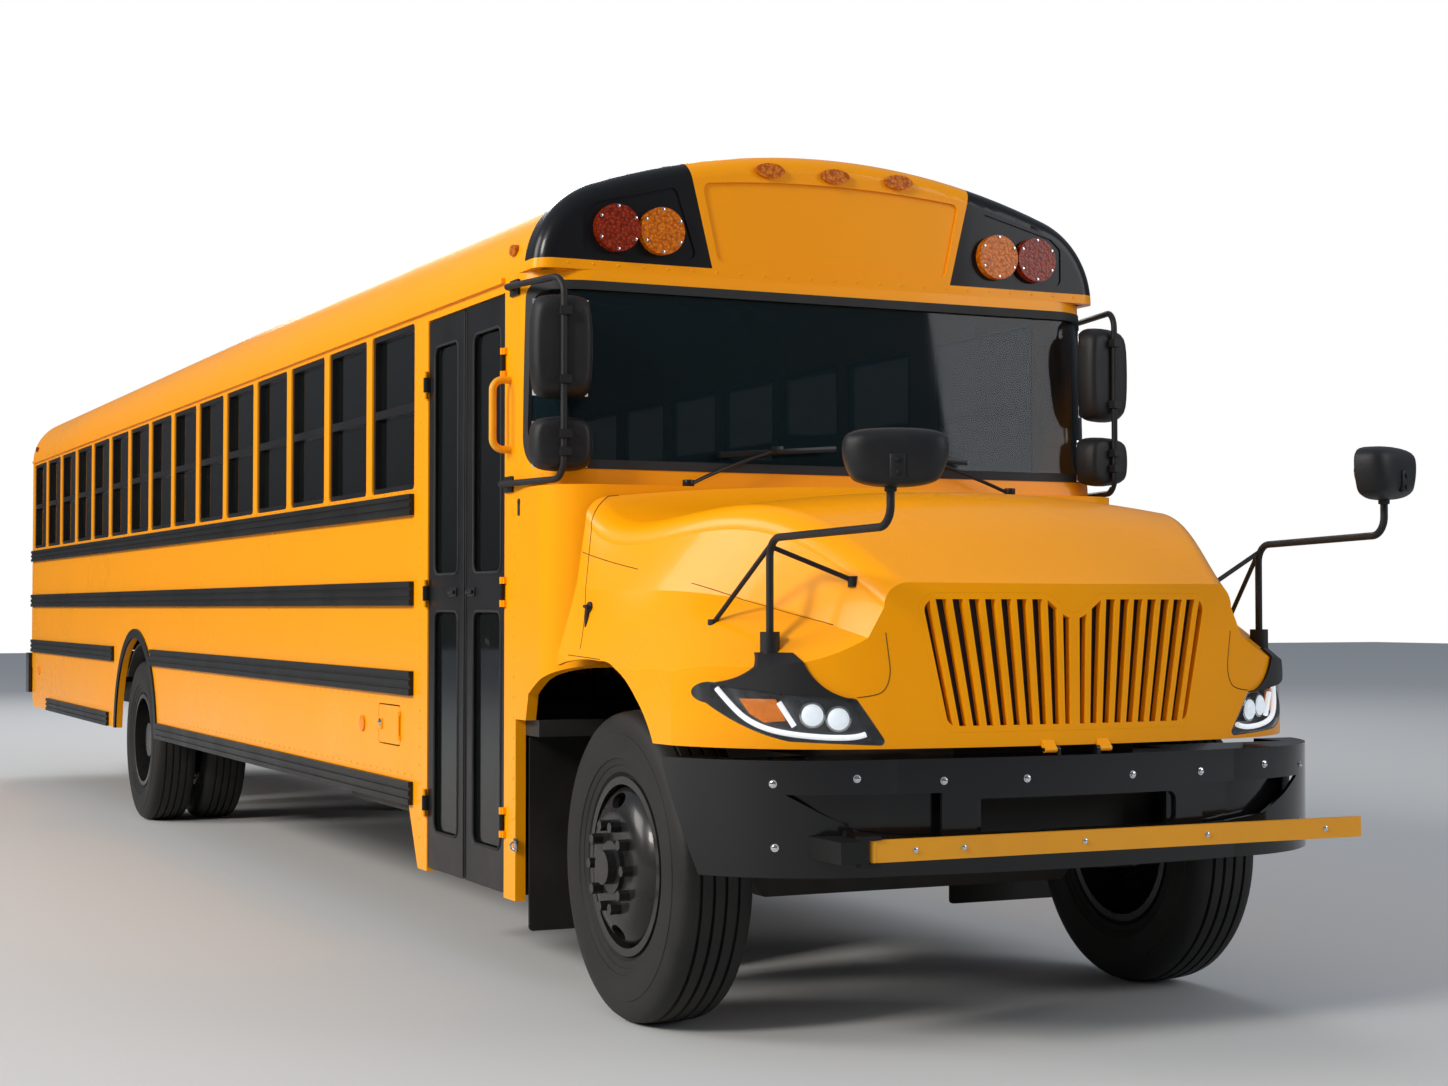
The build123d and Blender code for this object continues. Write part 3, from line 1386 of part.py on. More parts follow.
front_spring_x = frame_half - leaf_width / 2
rear_spring_x = frame_half + leaf_width / 2 + 2
with BuildPart() as leaf_springs:
    for side in (-1, 1):
        add(spring(side * front_spring_x, front_axle_y, 510, 575, 640))
        add(spring(side * rear_spring_x, rear_axle_y, tyre_radius + 65, 640, 640))
        for end in (-1, 1):
            with BuildSketch(Plane.XY.offset(580)):
                with Locations((side * front_spring_x, front_axle_y + end * 640)):
                    Rectangle(leaf_width + 16, 50)
            extrude(amount=frame_low_z - 580)
            with BuildSketch(Plane.XY.offset(640)):
                with Locations((side * (frame_half + (leaf_width + 10) / 2), rear_axle_y + end * 640)):
                    Rectangle(leaf_width + 10, 50)
            extrude(amount=180)
keep("leaf_springs", leaf_springs.part)

# Floor on its cross beams, with wheelhouses and the step well behind the entrance door
beam_ys = [first_post_y + window_pitch * i for i in range(window_count + 1)]
inner_half = half_width - wall
house_inner_x = 560
house_radius = 640
house_wall = 14
well_front_y = door_front_y - 40
well_rear_y = door_rear_y + 40
step_z = (350, 560, 775)
step_run = 240
well_outer_x = leaf_x + leaf_thickness + door_gap
well_inner_x = well_outer_x + 3 * step_run
floor_front_y = cab_y - 20
with BuildPart() as floor:
    with BuildSketch(Plane.XY.offset(floor_z - floor_thickness)):
        Polygon(
            (-inner_half, floor_front_y),
            (inner_half, floor_front_y),
            (inner_half, rear_y - wall),
            (-inner_half, rear_y - wall),
            align=None,
        )
        with Locations((-inner_half, (well_front_y + well_rear_y) / 2)):
            Rectangle(2 * (well_inner_x + inner_half), well_rear_y - well_front_y, mode=Mode.SUBTRACT)
    extrude(amount=floor_thickness)
    with BuildSketch(Plane.XY.offset(frame_top_z)):
        for y in beam_ys:
            if abs(y - rear_axle_y) > house_radius + 60:
                with Locations((0, y)):
                    Rectangle(2 * inner_half, 70)
    extrude(amount=floor_z - floor_thickness - frame_top_z)
    for side in (-1, 1):
        with BuildSketch(Plane.YZ.offset(side * house_inner_x)):
            with Locations(arch_centre):
                Circle(house_radius)
            with Locations((rear_axle_y, floor_z - floor_thickness)):
                Rectangle(3000, 2000, align=(Align.CENTER, Align.MAX), mode=Mode.SUBTRACT)
        extrude(amount=side * (inner_half - house_inner_x))
    for side in (-1, 1):
        with BuildSketch(Plane.YZ.offset(side * (house_inner_x + house_wall))):
            with Locations(arch_centre):
                Circle(house_radius - house_wall)
        extrude(amount=side * 800, mode=Mode.SUBTRACT)
    for i, z in enumerate(step_z):
        tread_x = well_outer_x + i * step_run
        with BuildSketch(Plane.XY.offset(z - 20)):
            with Locations((tread_x, well_front_y)):
                Rectangle(step_run, well_rear_y - well_front_y, align=(Align.MIN, Align.MIN))
        extrude(amount=20)
        top_z = step_z[i + 1] if i + 1 < len(step_z) else floor_z
        with BuildSketch(Plane.XY.offset(z - 20)):
            with Locations((tread_x + step_run, well_front_y)):
                Rectangle(16, well_rear_y - well_front_y, align=(Align.MAX, Align.MIN))
        extrude(amount=top_z - z + 20)
    for y in (well_front_y, well_rear_y - 16):
        with BuildSketch(Plane.XZ.offset(-y)):
            Polygon(
                (well_outer_x, step_z[0] - 20),
                (well_outer_x + step_run, step_z[0] - 20),
                (well_inner_x, floor_z),
                (well_outer_x, floor_z),
                align=None,
            )
        extrude(amount=-16)
keep("floor", floor.part)

# Fuel tank under the right side with its filler neck
with BuildPart() as fuel_tank:
    with BuildSketch(Plane.XZ.offset(-cab_y - 2650)):
        with Locations((-810, 690)):
            RectangleRounded(620, 379, 60)
    extrude(amount=1150)
    with BuildSketch(Plane.YZ.offset(-half_width + wall)):
        with Locations((fuel_y, fuel_z - 70)):
            Circle(30)
    extrude(amount=120)
    with BuildSketch(Plane.YZ.offset(-half_width + 22)):
        with Locations((fuel_y, fuel_z - 70 + 20)):
            Circle(38)
    extrude(amount=wall)
keep("fuel_tank", fuel_tank.part)

# Exhaust: silencer and pipes along the left side, out ahead of the rear wheels
exhaust_x = 800
exhaust_z = 575
pipe_radius = 40
silencer_radius = 100
silencer_ys = (cab_y + 2800, cab_y + 4300)
with BuildPart() as exhaust:
    with BuildSketch(Plane.XZ.offset(-silencer_ys[1])):
        with Locations((exhaust_x, exhaust_z)):
            Circle(silencer_radius)
    extrude(amount=silencer_ys[1] - silencer_ys[0])
    pipe = [
        (210 + clearance, cab_y + 300, exhaust_z),
        (exhaust_x, cab_y + 300, exhaust_z),
        (exhaust_x, cab_y + 6100, exhaust_z),
        (1120, cab_y + 6420, exhaust_z - 20),
    ]
    add(tube(pipe, pipe_radius, 150))
    for i in (1, 3, 5):
        with BuildSketch(Plane.XY.offset(exhaust_z + pipe_radius - 6)):
            with Locations((exhaust_x, first_post_y + window_pitch * i)):
                Rectangle(40, 12)
        extrude(amount=frame_top_z - exhaust_z - pipe_radius + 6)
keep("exhaust", exhaust.part)

# Mud flaps behind the front wheels
with BuildPart() as mud_flaps:
    for side in (-1, 1):
        with BuildSketch(Plane.XZ.offset(-cab_y - 112)):
            with Locations((side * 900, (210 + floor_z - floor_thickness) / 2)):
                RectangleRounded(540, floor_z - floor_thickness - 210, 15)
        extrude(amount=12)
keep("mud_flaps", mud_flaps.part)

# Seats on both sides of the aisle, and the driver's seat
seat_pitch = window_pitch
seat_count = 14
seat_width = 960
cushion_z = floor_z + 430
back_z = floor_z + 1150
seat_gap = 12


def seat(x, y, width, rest_z):
    with BuildSketch(Plane.YZ.offset(x - width / 2)) as outline:
        with BuildLine():
            Polyline(
                (y - 400, cushion_z - 110),
                (y - 400, cushion_z - 20),
                (y - 60, cushion_z - 20),
                (y + 30, rest_z),
                (y + 110, rest_z),
                (y + 30, cushion_z - 110),
                (y - 400, cushion_z - 110),
            )
        make_face()
        fillet(outline.vertices().filter_by(lambda v: v.Y > rest_z - 5), 28)
    body = extrude(outline.sketch, amount=width, mode=Mode.PRIVATE)
    with BuildSketch(Plane.XY.offset(floor_z)) as legs:
        for leg_x in (-1, 1):
            for leg_y in (-330, -20):
                with Locations((x + leg_x * (width / 2 - 60), y + leg_y)):
                    Rectangle(30, 30)
    return body + extrude(legs.sketch, amount=cushion_z - 90 - floor_z, mode=Mode.PRIVATE)


seat_x = inner_half - seat_gap - seat_width / 2
seat_rows = [first_post_y + seat_pitch * (i + 0.9) for i in range(seat_count)]
seat_list = [seat(620, cab_y + 1120, 500, back_z + 60)]
for y in seat_rows:
    if abs(y - 150 - rear_axle_y) > house_radius:
        seat_list += [seat(side * seat_x, y, seat_width, back_z) for side in (-1, 1)]
keep("seats", Compound(children=seat_list))

# Dash with the steering column and wheel
dash_half = half_width - front_corner
with BuildPart() as dash:
    with BuildSketch(Plane.YZ.offset(-dash_half)):
        Polygon(
            (shield_foot_y + wall, floor_z + 250),
            (cab_y + 120, floor_z + 250),
            (cab_y + 200, floor_z + 620),
            (cab_y + 120, floor_z + 760),
            (shield_foot_y + wall, floor_z + 790),
            align=None,
        )
    extrude(amount=2 * dash_half)
    with BuildSketch(Plane.XY.offset(floor_z)):
        with Locations((620, cab_y + 20)):
            Rectangle(200, 120)
    extrude(amount=400)
    column = Plane(origin=(620, cab_y + 120, floor_z + 560), z_dir=(0, 0.55, 0.6))
    with BuildSketch(column):
        Circle(32)
    extrude(amount=360)
    wheel_plane = column.offset(350)
    rim_start = wheel_plane.origin + wheel_plane.x_dir * 225
    with BuildSketch(Plane(origin=rim_start, x_dir=wheel_plane.x_dir, z_dir=wheel_plane.y_dir)):
        Circle(15)
    revolve(axis=Axis(wheel_plane.origin, wheel_plane.z_dir))
    with BuildSketch(wheel_plane):
        Rectangle(440, 40)
        Rectangle(40, 440)
    extrude(amount=12)
keep("dash", dash.part)

# Warning lamps in pairs at both ends, amber inboard of red, and the small side and roof markers
lamp_radius = 88
lamp_reach = 34
lamp_z = 2799
amber_x = 731
red_x = 911
tail_lamp_z = 1330
tail_lamp_x = 960
front_marker_z = 3064
rear_marker_z = 3036
marker_half = (62, 28)
marker_xs = (-280, 0, 280)
marker_reach = 14
side_marker_z = 2734


def corner_marker(side, y):
    # A small lamp on the shoulder of the roof.
    with BuildSketch(Plane.YZ.offset(side * (half_width - wall / 2 - 14))) as outline:
        with Locations((y, side_marker_z)):
            SlotOverall(64, 40)
    return extrude(outline.sketch, amount=side * (wall / 2 + 16), mode=Mode.PRIVATE)


def top_markers(y, out, z):
    # A row over the end of the bus at y; out is 1 at the front and -1 at the rear.
    with BuildSketch(Plane.XZ.offset(-y + out * marker_reach)) as outlines:
        for x in marker_xs:
            with Locations((x, z)):
                Ellipse(*marker_half)
    return extrude(outlines.sketch, amount=-out * (marker_reach + 22), mode=Mode.PRIVATE)


with BuildPart() as amber_lamps:
    add(top_markers(face_y, 1, front_marker_z))
    for side in (-1, 1):
        add(corner_marker(side, cab_y + 166))
    add(front_cap.part, mode=Mode.SUBTRACT)
    add(roof.part, mode=Mode.SUBTRACT)
    for side in (-1, 1):
        for y, out in ((face_y + wing_sink, 1), (rear_y, -1)):
            with BuildSketch(Plane.XZ.offset(-y)):
                with Locations((side * amber_x, lamp_z)):
                    Circle(lamp_radius)
            extrude(amount=out * lamp_reach)
        with BuildSketch(Plane.XZ.offset(-rear_y)):
            with Locations((side * tail_lamp_x, tail_lamp_z + 160)):
                Circle(55)
        extrude(amount=-20)
keep("amber_lamps", amber_lamps.part)

with BuildPart() as red_lamps:
    add(top_markers(rear_y, -1, rear_marker_z))
    for side in (-1, 1):
        add(corner_marker(side, shell_rear_y - 120))
    add(rear_wall.part, mode=Mode.SUBTRACT)
    add(roof.part, mode=Mode.SUBTRACT)
    for side in (-1, 1):
        for y, out in ((face_y + wing_sink, 1), (rear_y, -1)):
            with BuildSketch(Plane.XZ.offset(-y)):
                with Locations((side * red_x, lamp_z)):
                    Circle(lamp_radius)
            extrude(amount=out * lamp_reach)
        with BuildSketch(Plane.XZ.offset(-rear_y)):
            with Locations((side * tail_lamp_x, tail_lamp_z)):
                Circle(88)
        extrude(amount=-24)
keep("red_lamps", red_lamps.part)

# Crossing arm: a bracket on the bumper and a long arm that swings forward
arm_pivot = (-800, cab_y - 1832)
arm_low_z = 640
arm_high_z = 706
with BuildPart() as arm_bracket:
    with BuildSketch(Plane.XY.offset(arm_low_z)):
        Polygon(
            (-916, arm_pivot[1] - 18),
            (arm_pivot[0] - 22, arm_pivot[1] - 18),
            (arm_pivot[0] - 22, bumper_y + 110),
            (-916, bumper_y + 190),
            align=None,
        )
    extrude(amount=arm_high_z - arm_low_z)
    extrude(bumper_plan(bumper_low_z - 10, -clearance), amount=500, mode=Mode.SUBTRACT)
    for z in (arm_low_z - 14, arm_high_z + 2):
        with BuildSketch(Plane.XY.offset(z)):
            with Locations((arm_pivot[0] - 14, arm_pivot[1])):
                Rectangle(68, 36)
        extrude(amount=12)
    with BuildSketch(Plane.XY.offset(arm_low_z - 14)):
        with Locations((arm_pivot[0] - 34, arm_pivot[1])):
            Rectangle(24, 36)
    extrude(amount=arm_high_z - arm_low_z + 28)
    with BuildSketch(Plane.XY.offset(arm_low_z - 14)):
        with Locations(arm_pivot):
            Circle(7)
    extrude(amount=arm_high_z - arm_low_z + 28)

with BuildPart() as crossing_arm:
    with BuildSketch(Plane.XY.offset(arm_low_z)):
        with Locations(arm_pivot):
            Circle(14)
        with Locations((arm_pivot[0], arm_pivot[1])):
            Rectangle(1850, 24, align=(Align.MIN, Align.CENTER))
        with Locations(arm_pivot):
            Circle(7 + pin_fit, mode=Mode.SUBTRACT)
    extrude(amount=arm_high_z - arm_low_z)
keep("crossing_arm", crossing_arm.part)

# Stop sign arm on the driver's side: a bracket over the rub rails and an octagon that swings out
sign_pivot = (half_width + rail_reach + 24, cab_y + 1440)
sign_z = 1600
sign_half = 228
with BuildPart() as sign_bracket:
    with BuildSketch(Plane.YZ.offset(half_width + rail_reach)):
        with Locations((sign_pivot[1] - 62, sign_z)):
            Rectangle(60, 380)
    extrude(amount=38)
    for z in (-120, 120):
        with BuildSketch(Plane.XY.offset(sign_z + z - 15)):
            with Locations((sign_pivot[0], sign_pivot[1])):
                Circle(14)
            with Locations((sign_pivot[0], sign_pivot[1] - 20)):
                Rectangle(24, 44)
        extrude(amount=30)
    with BuildSketch(Plane.XY.offset(sign_z - 125)):
        with Locations(sign_pivot):
            Circle(6)
    extrude(amount=250)
keep("arm_brackets", Compound(children=[arm_bracket.part, sign_bracket.part]))

with BuildPart() as stop_sign:
    with BuildSketch(Plane.YZ.offset(sign_pivot[0] - 5)):
        with Locations((sign_pivot[1] + 30 + sign_half, sign_z)):
            RegularPolygon(sign_half, 8, major_radius=False, rotation=22.5)
        with Locations((sign_pivot[1] + 30, sign_z)):
            Rectangle(60, 190)
    extrude(amount=10)
    with BuildSketch(Plane.XY.offset(sign_z - 95)):
        with Locations(sign_pivot):
            Circle(13)
    extrude(amount=190)
    with BuildSketch(Plane.XY.offset(sign_z - 96)):
        with Locations(sign_pivot):
            Circle(6 + pin_fit)
    extrude(amount=192, mode=Mode.SUBTRACT)
keep("stop_sign", stop_sign.part)

# Grab rail beside the entrance door
with BuildPart() as grab_rail:
    rail_y = cab_y + 185
    add(
        tube(
            [
                (-half_width, rail_y, 1990),
                (-half_width - 70, rail_y, 1990),
                (-half_width - 70, rail_y, 2250),
                (-half_width, rail_y, 2250),
            ],
            14,
            40,
        )
    )
keep("grab_rail", grab_rail.part)
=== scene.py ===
from math import atan2, cos, pi, radians, sin

import bpy
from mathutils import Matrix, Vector


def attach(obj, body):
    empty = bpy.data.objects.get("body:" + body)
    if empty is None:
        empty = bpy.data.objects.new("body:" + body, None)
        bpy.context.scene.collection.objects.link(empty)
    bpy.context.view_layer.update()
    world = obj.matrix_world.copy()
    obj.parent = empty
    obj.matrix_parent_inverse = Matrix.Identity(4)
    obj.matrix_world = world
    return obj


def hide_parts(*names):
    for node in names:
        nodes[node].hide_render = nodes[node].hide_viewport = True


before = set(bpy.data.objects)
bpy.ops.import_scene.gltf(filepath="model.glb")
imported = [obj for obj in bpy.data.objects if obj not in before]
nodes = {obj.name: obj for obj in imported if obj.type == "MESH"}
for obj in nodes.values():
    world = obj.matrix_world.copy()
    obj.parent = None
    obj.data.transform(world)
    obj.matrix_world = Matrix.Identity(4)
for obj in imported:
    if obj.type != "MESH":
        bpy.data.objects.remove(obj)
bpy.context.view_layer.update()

# Camera: where the photographer stood
photoCamera = {
    "place": (-4.086, -12.753, 1.40),
    "turn": (91.651, 0.0, -25.292),      # degrees
    "lens": 56.06,
    "sensor": 36.0,
}


def addObject(name, data):
    piece = bpy.data.objects.new(name, data)
    bpy.context.scene.collection.objects.link(piece)
    return piece


def setCamera():
    data = bpy.data.cameras.new("photoCamera")
    data.lens = photoCamera["lens"]
    data.sensor_width = photoCamera["sensor"]
    data.clip_end = 200
    camera = addObject("photoCamera", data)
    camera.location = photoCamera["place"]
    camera.rotation_euler = [radians(angle) for angle in photoCamera["turn"]]
    bpy.context.scene.camera = camera


setCamera()
print("camera placed")


# Shader helpers, and node groups that several finishes share
socketKinds = {float: "NodeSocketFloat", tuple: "NodeSocketColor"}


def feed(tree, node, values):
    # Each input takes a link from a socket, or a value.
    for key, value in values.items():
        if isinstance(value, bpy.types.NodeSocket):
            tree.links.new(value, node.inputs[key])
        else:
            node.inputs[key].default_value = value


def place(tree, kind, values, **settings):
    node = tree.nodes.new(kind)
    for key, value in settings.items():
        setattr(node, key, value)
    feed(tree, node, values)
    return node


def placeOn(tree, kind, values, **settings):
    # A node that reads the place on the object.
    where = place(tree, "ShaderNodeTexCoord", {})
    return place(tree, kind, {"Vector": where.outputs["Object"], **values}, **settings)


def noiseOn(tree, scale, detail, rough=0.5):
    values = {"Scale": scale, "Detail": detail, "Roughness": rough}
    return placeOn(tree, "ShaderNodeTexNoise", values).outputs["Fac"]


def mixColour(tree, low, high, share):
    return place(tree, "ShaderNodeMix", {0: share, 6: low, 7: high}, data_type="RGBA").outputs[2]


def calc(tree, operation, first, second=0.0, third=0.0, clamp=False):
    values = {0: first, 1: second, 2: third}
    return place(tree, "ShaderNodeMath", values, operation=operation, use_clamp=clamp).outputs[0]


def bumpOf(tree, height, strength, depth, below=None, invert=False):
    values = {"Height": height, "Strength": strength, "Distance": depth}
    if below is not None:
        values["Normal"] = below
    return place(tree, "ShaderNodeBump", values, invert=invert).outputs["Normal"]


def startGroup(name, inputs, outputs):
    # inputs: default values by name; outputs: float for a number, tuple for a colour
    group = bpy.data.node_groups.new(name, "ShaderNodeTree")
    for label, value in inputs.items():
        socket = group.interface.new_socket(name=label, in_out="INPUT", socket_type=socketKinds[type(value)])
        socket.default_value = value
    for label, kind in outputs.items():
        group.interface.new_socket(name=label, in_out="OUTPUT", socket_type=socketKinds[kind])
    return group, group.nodes.new("NodeGroupInput").outputs, group.nodes.new("NodeGroupOutput")


def makeGrainGroup():
    # Fine height for moulded plastic, rubber and paint: noise at one size with a coarser one under it.
    group, given, result = startGroup("fineGrain", {"Scale": 300.0, "Coarse": 0.3}, {"Height": float})
    fine = noiseOn(group, given["Scale"], 3.0, 0.6)
    coarse = noiseOn(group, calc(group, "MULTIPLY", given["Scale"], 0.12), 1.0)
    wave = calc(group, "MULTIPLY", coarse, given["Coarse"])
    feed(group, result, {"Height": calc(group, "ADD", fine, wave)})
    return group


def makeDustGroup():
    # Road dust: thick low down, fading to nothing at a height, broken up by noise.
    group, given, result = startGroup("roadDust", {"Top": 1.2, "Bottom": 0.3, "Amount": 0.3}, {"Mask": float})
    split = placeOn(group, "ShaderNodeSeparateXYZ", {})
    fade = {"Value": split.outputs["Z"], "From Min": given["Top"], "From Max": given["Bottom"]}
    reach = place(group, "ShaderNodeMapRange", fade, interpolation_type="SMOOTHSTEP")
    patch = calc(group, "MULTIPLY_ADD", noiseOn(group, 4.0, 6.0, 0.65), 2.2, -0.5, clamp=True)
    share = calc(group, "MULTIPLY", reach.outputs["Result"], patch)
    feed(group, result, {"Mask": calc(group, "MULTIPLY", share, given["Amount"], clamp=True)})
    return group


def makeDriftGroup():
    # A colour that drifts a little over the surface.
    group, given, result = startGroup(
        "colourDrift",
        {"Colour": (0.5, 0.5, 0.5, 1), "Other": (0.4, 0.4, 0.4, 1), "Scale": 1.5},
        {"Colour": tuple, "Share": float},
    )
    share = calc(group, "MULTIPLY_ADD", noiseOn(group, given["Scale"], 4.0, 0.55), 2.4, -0.7, clamp=True)
    coloured = mixColour(group, given["Colour"], given["Other"], share)
    feed(group, result, {"Colour": coloured, "Share": share})
    return group


grainGroup = makeGrainGroup()
dustGroup = makeDustGroup()
driftGroup = makeDriftGroup()
print("shader groups built")


def useGroup(tree, group, values):
    return place(tree, "ShaderNodeGroup", values, node_tree=group)


def startFinish(name):
    material = bpy.data.materials.new(name)
    material.use_nodes = True
    return material, material.node_tree, material.node_tree.nodes["Principled BSDF"]


# Opaque finishes: colour and the colour it drifts to, roughness from and to, grain size and height, dust,
# clear coat, shine and metal; surface has what a finish doesn't state. paintedSeamShade is painted shade: the
# yellow in shade
finishes = {
    "busYellow": {
        "colour": (0.95, 0.352, 0.0005), "drift": (0.91, 0.328, 0.0005), "driftScale": 0.8,
        "rough": (0.24, 0.36), "grain": 260, "bump": 0.0123, "coat": 0.24, "shine": 0.15,
    },
    "yellowPlastic": {
        "colour": (0.83, 0.35, 0.008), "drift": (0.76, 0.31, 0.008),
        "rough": (0.32, 0.45), "grain": 420, "bump": 0.05, "dust": 0.12, "coat": 0.2,
    },
    "glossBlack": {
        "colour": (0.004, 0.004, 0.0045), "drift": (0.008, 0.008, 0.009), "driftScale": 2.0,
        "rough": (0.10, 0.18), "grain": 300, "bump": 0.0115, "coat": 0.7, "shine": 0.2,
    },
    "railBlack": {
        "colour": (0.007, 0.007, 0.007), "drift": (0.013, 0.013, 0.013),
        "rough": (0.34, 0.48), "grain": 380, "bump": 0.054, "coat": 0.1, "shine": 0.2,
    },
    "frameBlack": {
        "colour": (0.007, 0.007, 0.008), "drift": (0.012, 0.012, 0.013), "driftScale": 4.0,
        "rough": (0.28, 0.42), "grain": 420, "bump": 0.033, "coat": 0.15, "shine": 0.2,
    },
    "mouldedBlack": {
        "colour": (0.009, 0.009, 0.010), "drift": (0.015, 0.015, 0.016), "driftScale": 5.0,
        "rough": (0.38, 0.52), "grain": 900, "bump": 0.24, "shine": 0.25,
    },
    "chassisBlack": {
        "colour": (0.014, 0.013, 0.013), "drift": (0.035, 0.031, 0.027),
        "rough": (0.45, 0.7), "grain": 200, "bump": 0.12, "dust": 0.18,
    },
    "wheelBlack": {
        "colour": (0.009, 0.009, 0.010), "drift": (0.018, 0.017, 0.016), "driftScale": 5.0,
        "rough": (0.22, 0.36), "grain": 260, "bump": 0.044, "coat": 0.3, "shine": 0.25,
    },
    "castBlock": {
        "colour": (0.07, 0.07, 0.072), "drift": (0.12, 0.1, 0.08), "driftScale": 4.0,
        "rough": (0.55, 0.8), "grain": 220, "bump": 0.4, "dust": 0.4,
    },
    "exhaustSteel": {
        "colour": (0.22, 0.2, 0.18), "drift": (0.14, 0.09, 0.06), "driftScale": 5.0,
        "rough": (0.45, 0.7), "grain": 240, "bump": 0.15, "dust": 0.4, "metal": 0.8,
    },
    "sealRubber": {
        "colour": (0.012, 0.012, 0.012), "drift": (0.02, 0.02, 0.02), "driftScale": 8.0,
        "rough": (0.5, 0.7), "grain": 700, "bump": 0.126,
    },
    "flapRubber": {
        "colour": (0.007, 0.007, 0.007), "drift": (0.014, 0.013, 0.012),
        "rough": (0.55, 0.8), "grain": 420, "bump": 0.2, "dust": 0.12, "shine": 0.2,
    },
    "tyreRubber": {
        "colour": (0.012, 0.012, 0.012), "drift": (0.024, 0.023, 0.021), "driftScale": 4.0,
        "rough": (0.5, 0.7), "grain": 600, "bump": 0.158, "shine": 0.25,
    },
    "hatchPlastic": {
        "colour": (0.66, 0.66, 0.64), "drift": (0.58, 0.57, 0.54),
        "rough": (0.4, 0.55), "grain": 500, "bump": 0.125,
    },
    "signRed": {
        "colour": (0.55, 0.012, 0.012), "drift": (0.48, 0.01, 0.01),
        "rough": (0.25, 0.4), "grain": 800, "bump": 0.055, "coat": 0.3,
    },
    "signWhite": {
        "colour": (0.75, 0.75, 0.74), "drift": (0.68, 0.68, 0.66),
        "rough": (0.3, 0.45), "grain": 800, "bump": 0.055, "coat": 0.2,
    },
    "ribbedFloor": {
        "colour": (0.02, 0.02, 0.021), "drift": (0.035, 0.034, 0.032),
        "rough": (0.5, 0.7), "grain": 500, "bump": 0.15, "dust": 0.15,
    },
    "lampBowl": {
        "colour": (0.05, 0.054, 0.062), "drift": (0.12, 0.125, 0.135), "driftScale": 30.0,
        "rough": (0.14, 0.26), "grain": 500, "bump": 0.02, "coat": 0.3, "metal": 0.7,
    },
    "brightTrim": {
        "colour": (0.72, 0.73, 0.74), "drift": (0.6, 0.61, 0.62), "driftScale": 12.0,
        "rough": (0.08, 0.16), "grain": 700, "bump": 0.02, "metal": 1.0,
    },
    "mirrorFace": {
        "colour": (0.78, 0.8, 0.82), "drift": (0.74, 0.76, 0.78), "driftScale": 4.0,
        "rough": (0.01, 0.04), "grain": 700, "bump": 0.0, "metal": 1.0,
    },
    # painted shade: the yellow as it looks in shade, for the dark lines along the hood's creases and panel
    # edges
    "paintedSeamShade": {
        "colour": (0.10, 0.036, 0.003), "drift": (0.07, 0.025, 0.003), "driftScale": 5.0,
        "rough": (0.6, 0.8), "grain": 500, "bump": 0.1,
    },
    "seatVinyl": {
        "colour": (0.013, 0.018, 0.028), "drift": (0.02, 0.026, 0.038), "driftScale": 6.0,
        "rough": (0.38, 0.52), "grain": 650, "bump": 0.3,
    },
}
dustColour = (0.14, 0.115, 0.085, 1)
surface = {
    "driftScale": 3.0, "bumpDepth": 0.002, "shine": 0.3, "dustRough": 0.5,
    "coatShare": 0.5, "coatRough": 0.06,
}


def makeFinish(name, settings):
    material, tree, shader = startFinish(name)
    drift = useGroup(tree, driftGroup, {
        "Colour": (*settings["colour"], 1),
        "Other": (*settings["drift"], 1),
        "Scale": settings.get("driftScale", surface["driftScale"]),
    })
    dust = useGroup(tree, dustGroup, {"Amount": settings.get("dust", 0.0)}).outputs["Mask"]
    grain = useGroup(tree, grainGroup, {"Scale": settings["grain"]}).outputs["Height"]
    low, high = settings["rough"]
    rough = calc(tree, "MULTIPLY_ADD", drift.outputs["Share"], high - low, low)
    feed(tree, shader, {
        "Base Color": mixColour(tree, drift.outputs["Colour"], dustColour, dust),
        "Roughness": calc(tree, "MULTIPLY_ADD", dust, surface["dustRough"], rough, clamp=True),
        "Normal": bumpOf(tree, grain, settings["bump"], surface["bumpDepth"]),
        "Metallic": settings.get("metal", 0.0),
        "Specular IOR Level": settings.get("shine", surface["shine"]),
        "Coat Weight": surface["coatShare"] * settings.get("coat", 0.0),
        "Coat Roughness": surface["coatRough"],
    })
    return material


# Glass: dark tint for the side windows and doors, lighter for the windshield, clear over the headlamps
glasses = {
    "sideGlass": {"colour": (0.05, 0.06, 0.06), "rough": 0.03, "alpha": 0.84},
    "frontGlass": {"colour": (0.03, 0.10, 0.13), "rough": 0.02, "alpha": 0.56},
    "lampCover": {"colour": (0.9, 0.93, 0.95), "rough": 0.02, "alpha": 0.12},
}
glassSurface = {
    "colourShare": 0.12, "shine": 0.3, "smearScale": 2.5, "smear": 0.03, "dustAlpha": 0.5,
    "dust": {"Amount": 0.06, "Top": 2.4, "Bottom": 0.4},
}


def makeGlass(name, settings):
    material, tree, shader = startFinish(name)
    smear = useGroup(tree, driftGroup, {"Scale": glassSurface["smearScale"]}).outputs["Share"]
    dust = useGroup(tree, dustGroup, glassSurface["dust"]).outputs["Mask"]
    feed(tree, shader, {
        "Base Color": (*[glassSurface["colourShare"] * channel for channel in settings["colour"]], 1),
        "IOR": 1.5,
        "Specular IOR Level": glassSurface["shine"],
        "Roughness": calc(tree, "MULTIPLY_ADD", smear, glassSurface["smear"], settings["rough"]),
        "Alpha": calc(tree, "MULTIPLY_ADD", dust, glassSurface["dustAlpha"], settings["alpha"], clamp=True),
    })
    material.surface_render_method = "DITHERED"
    return material
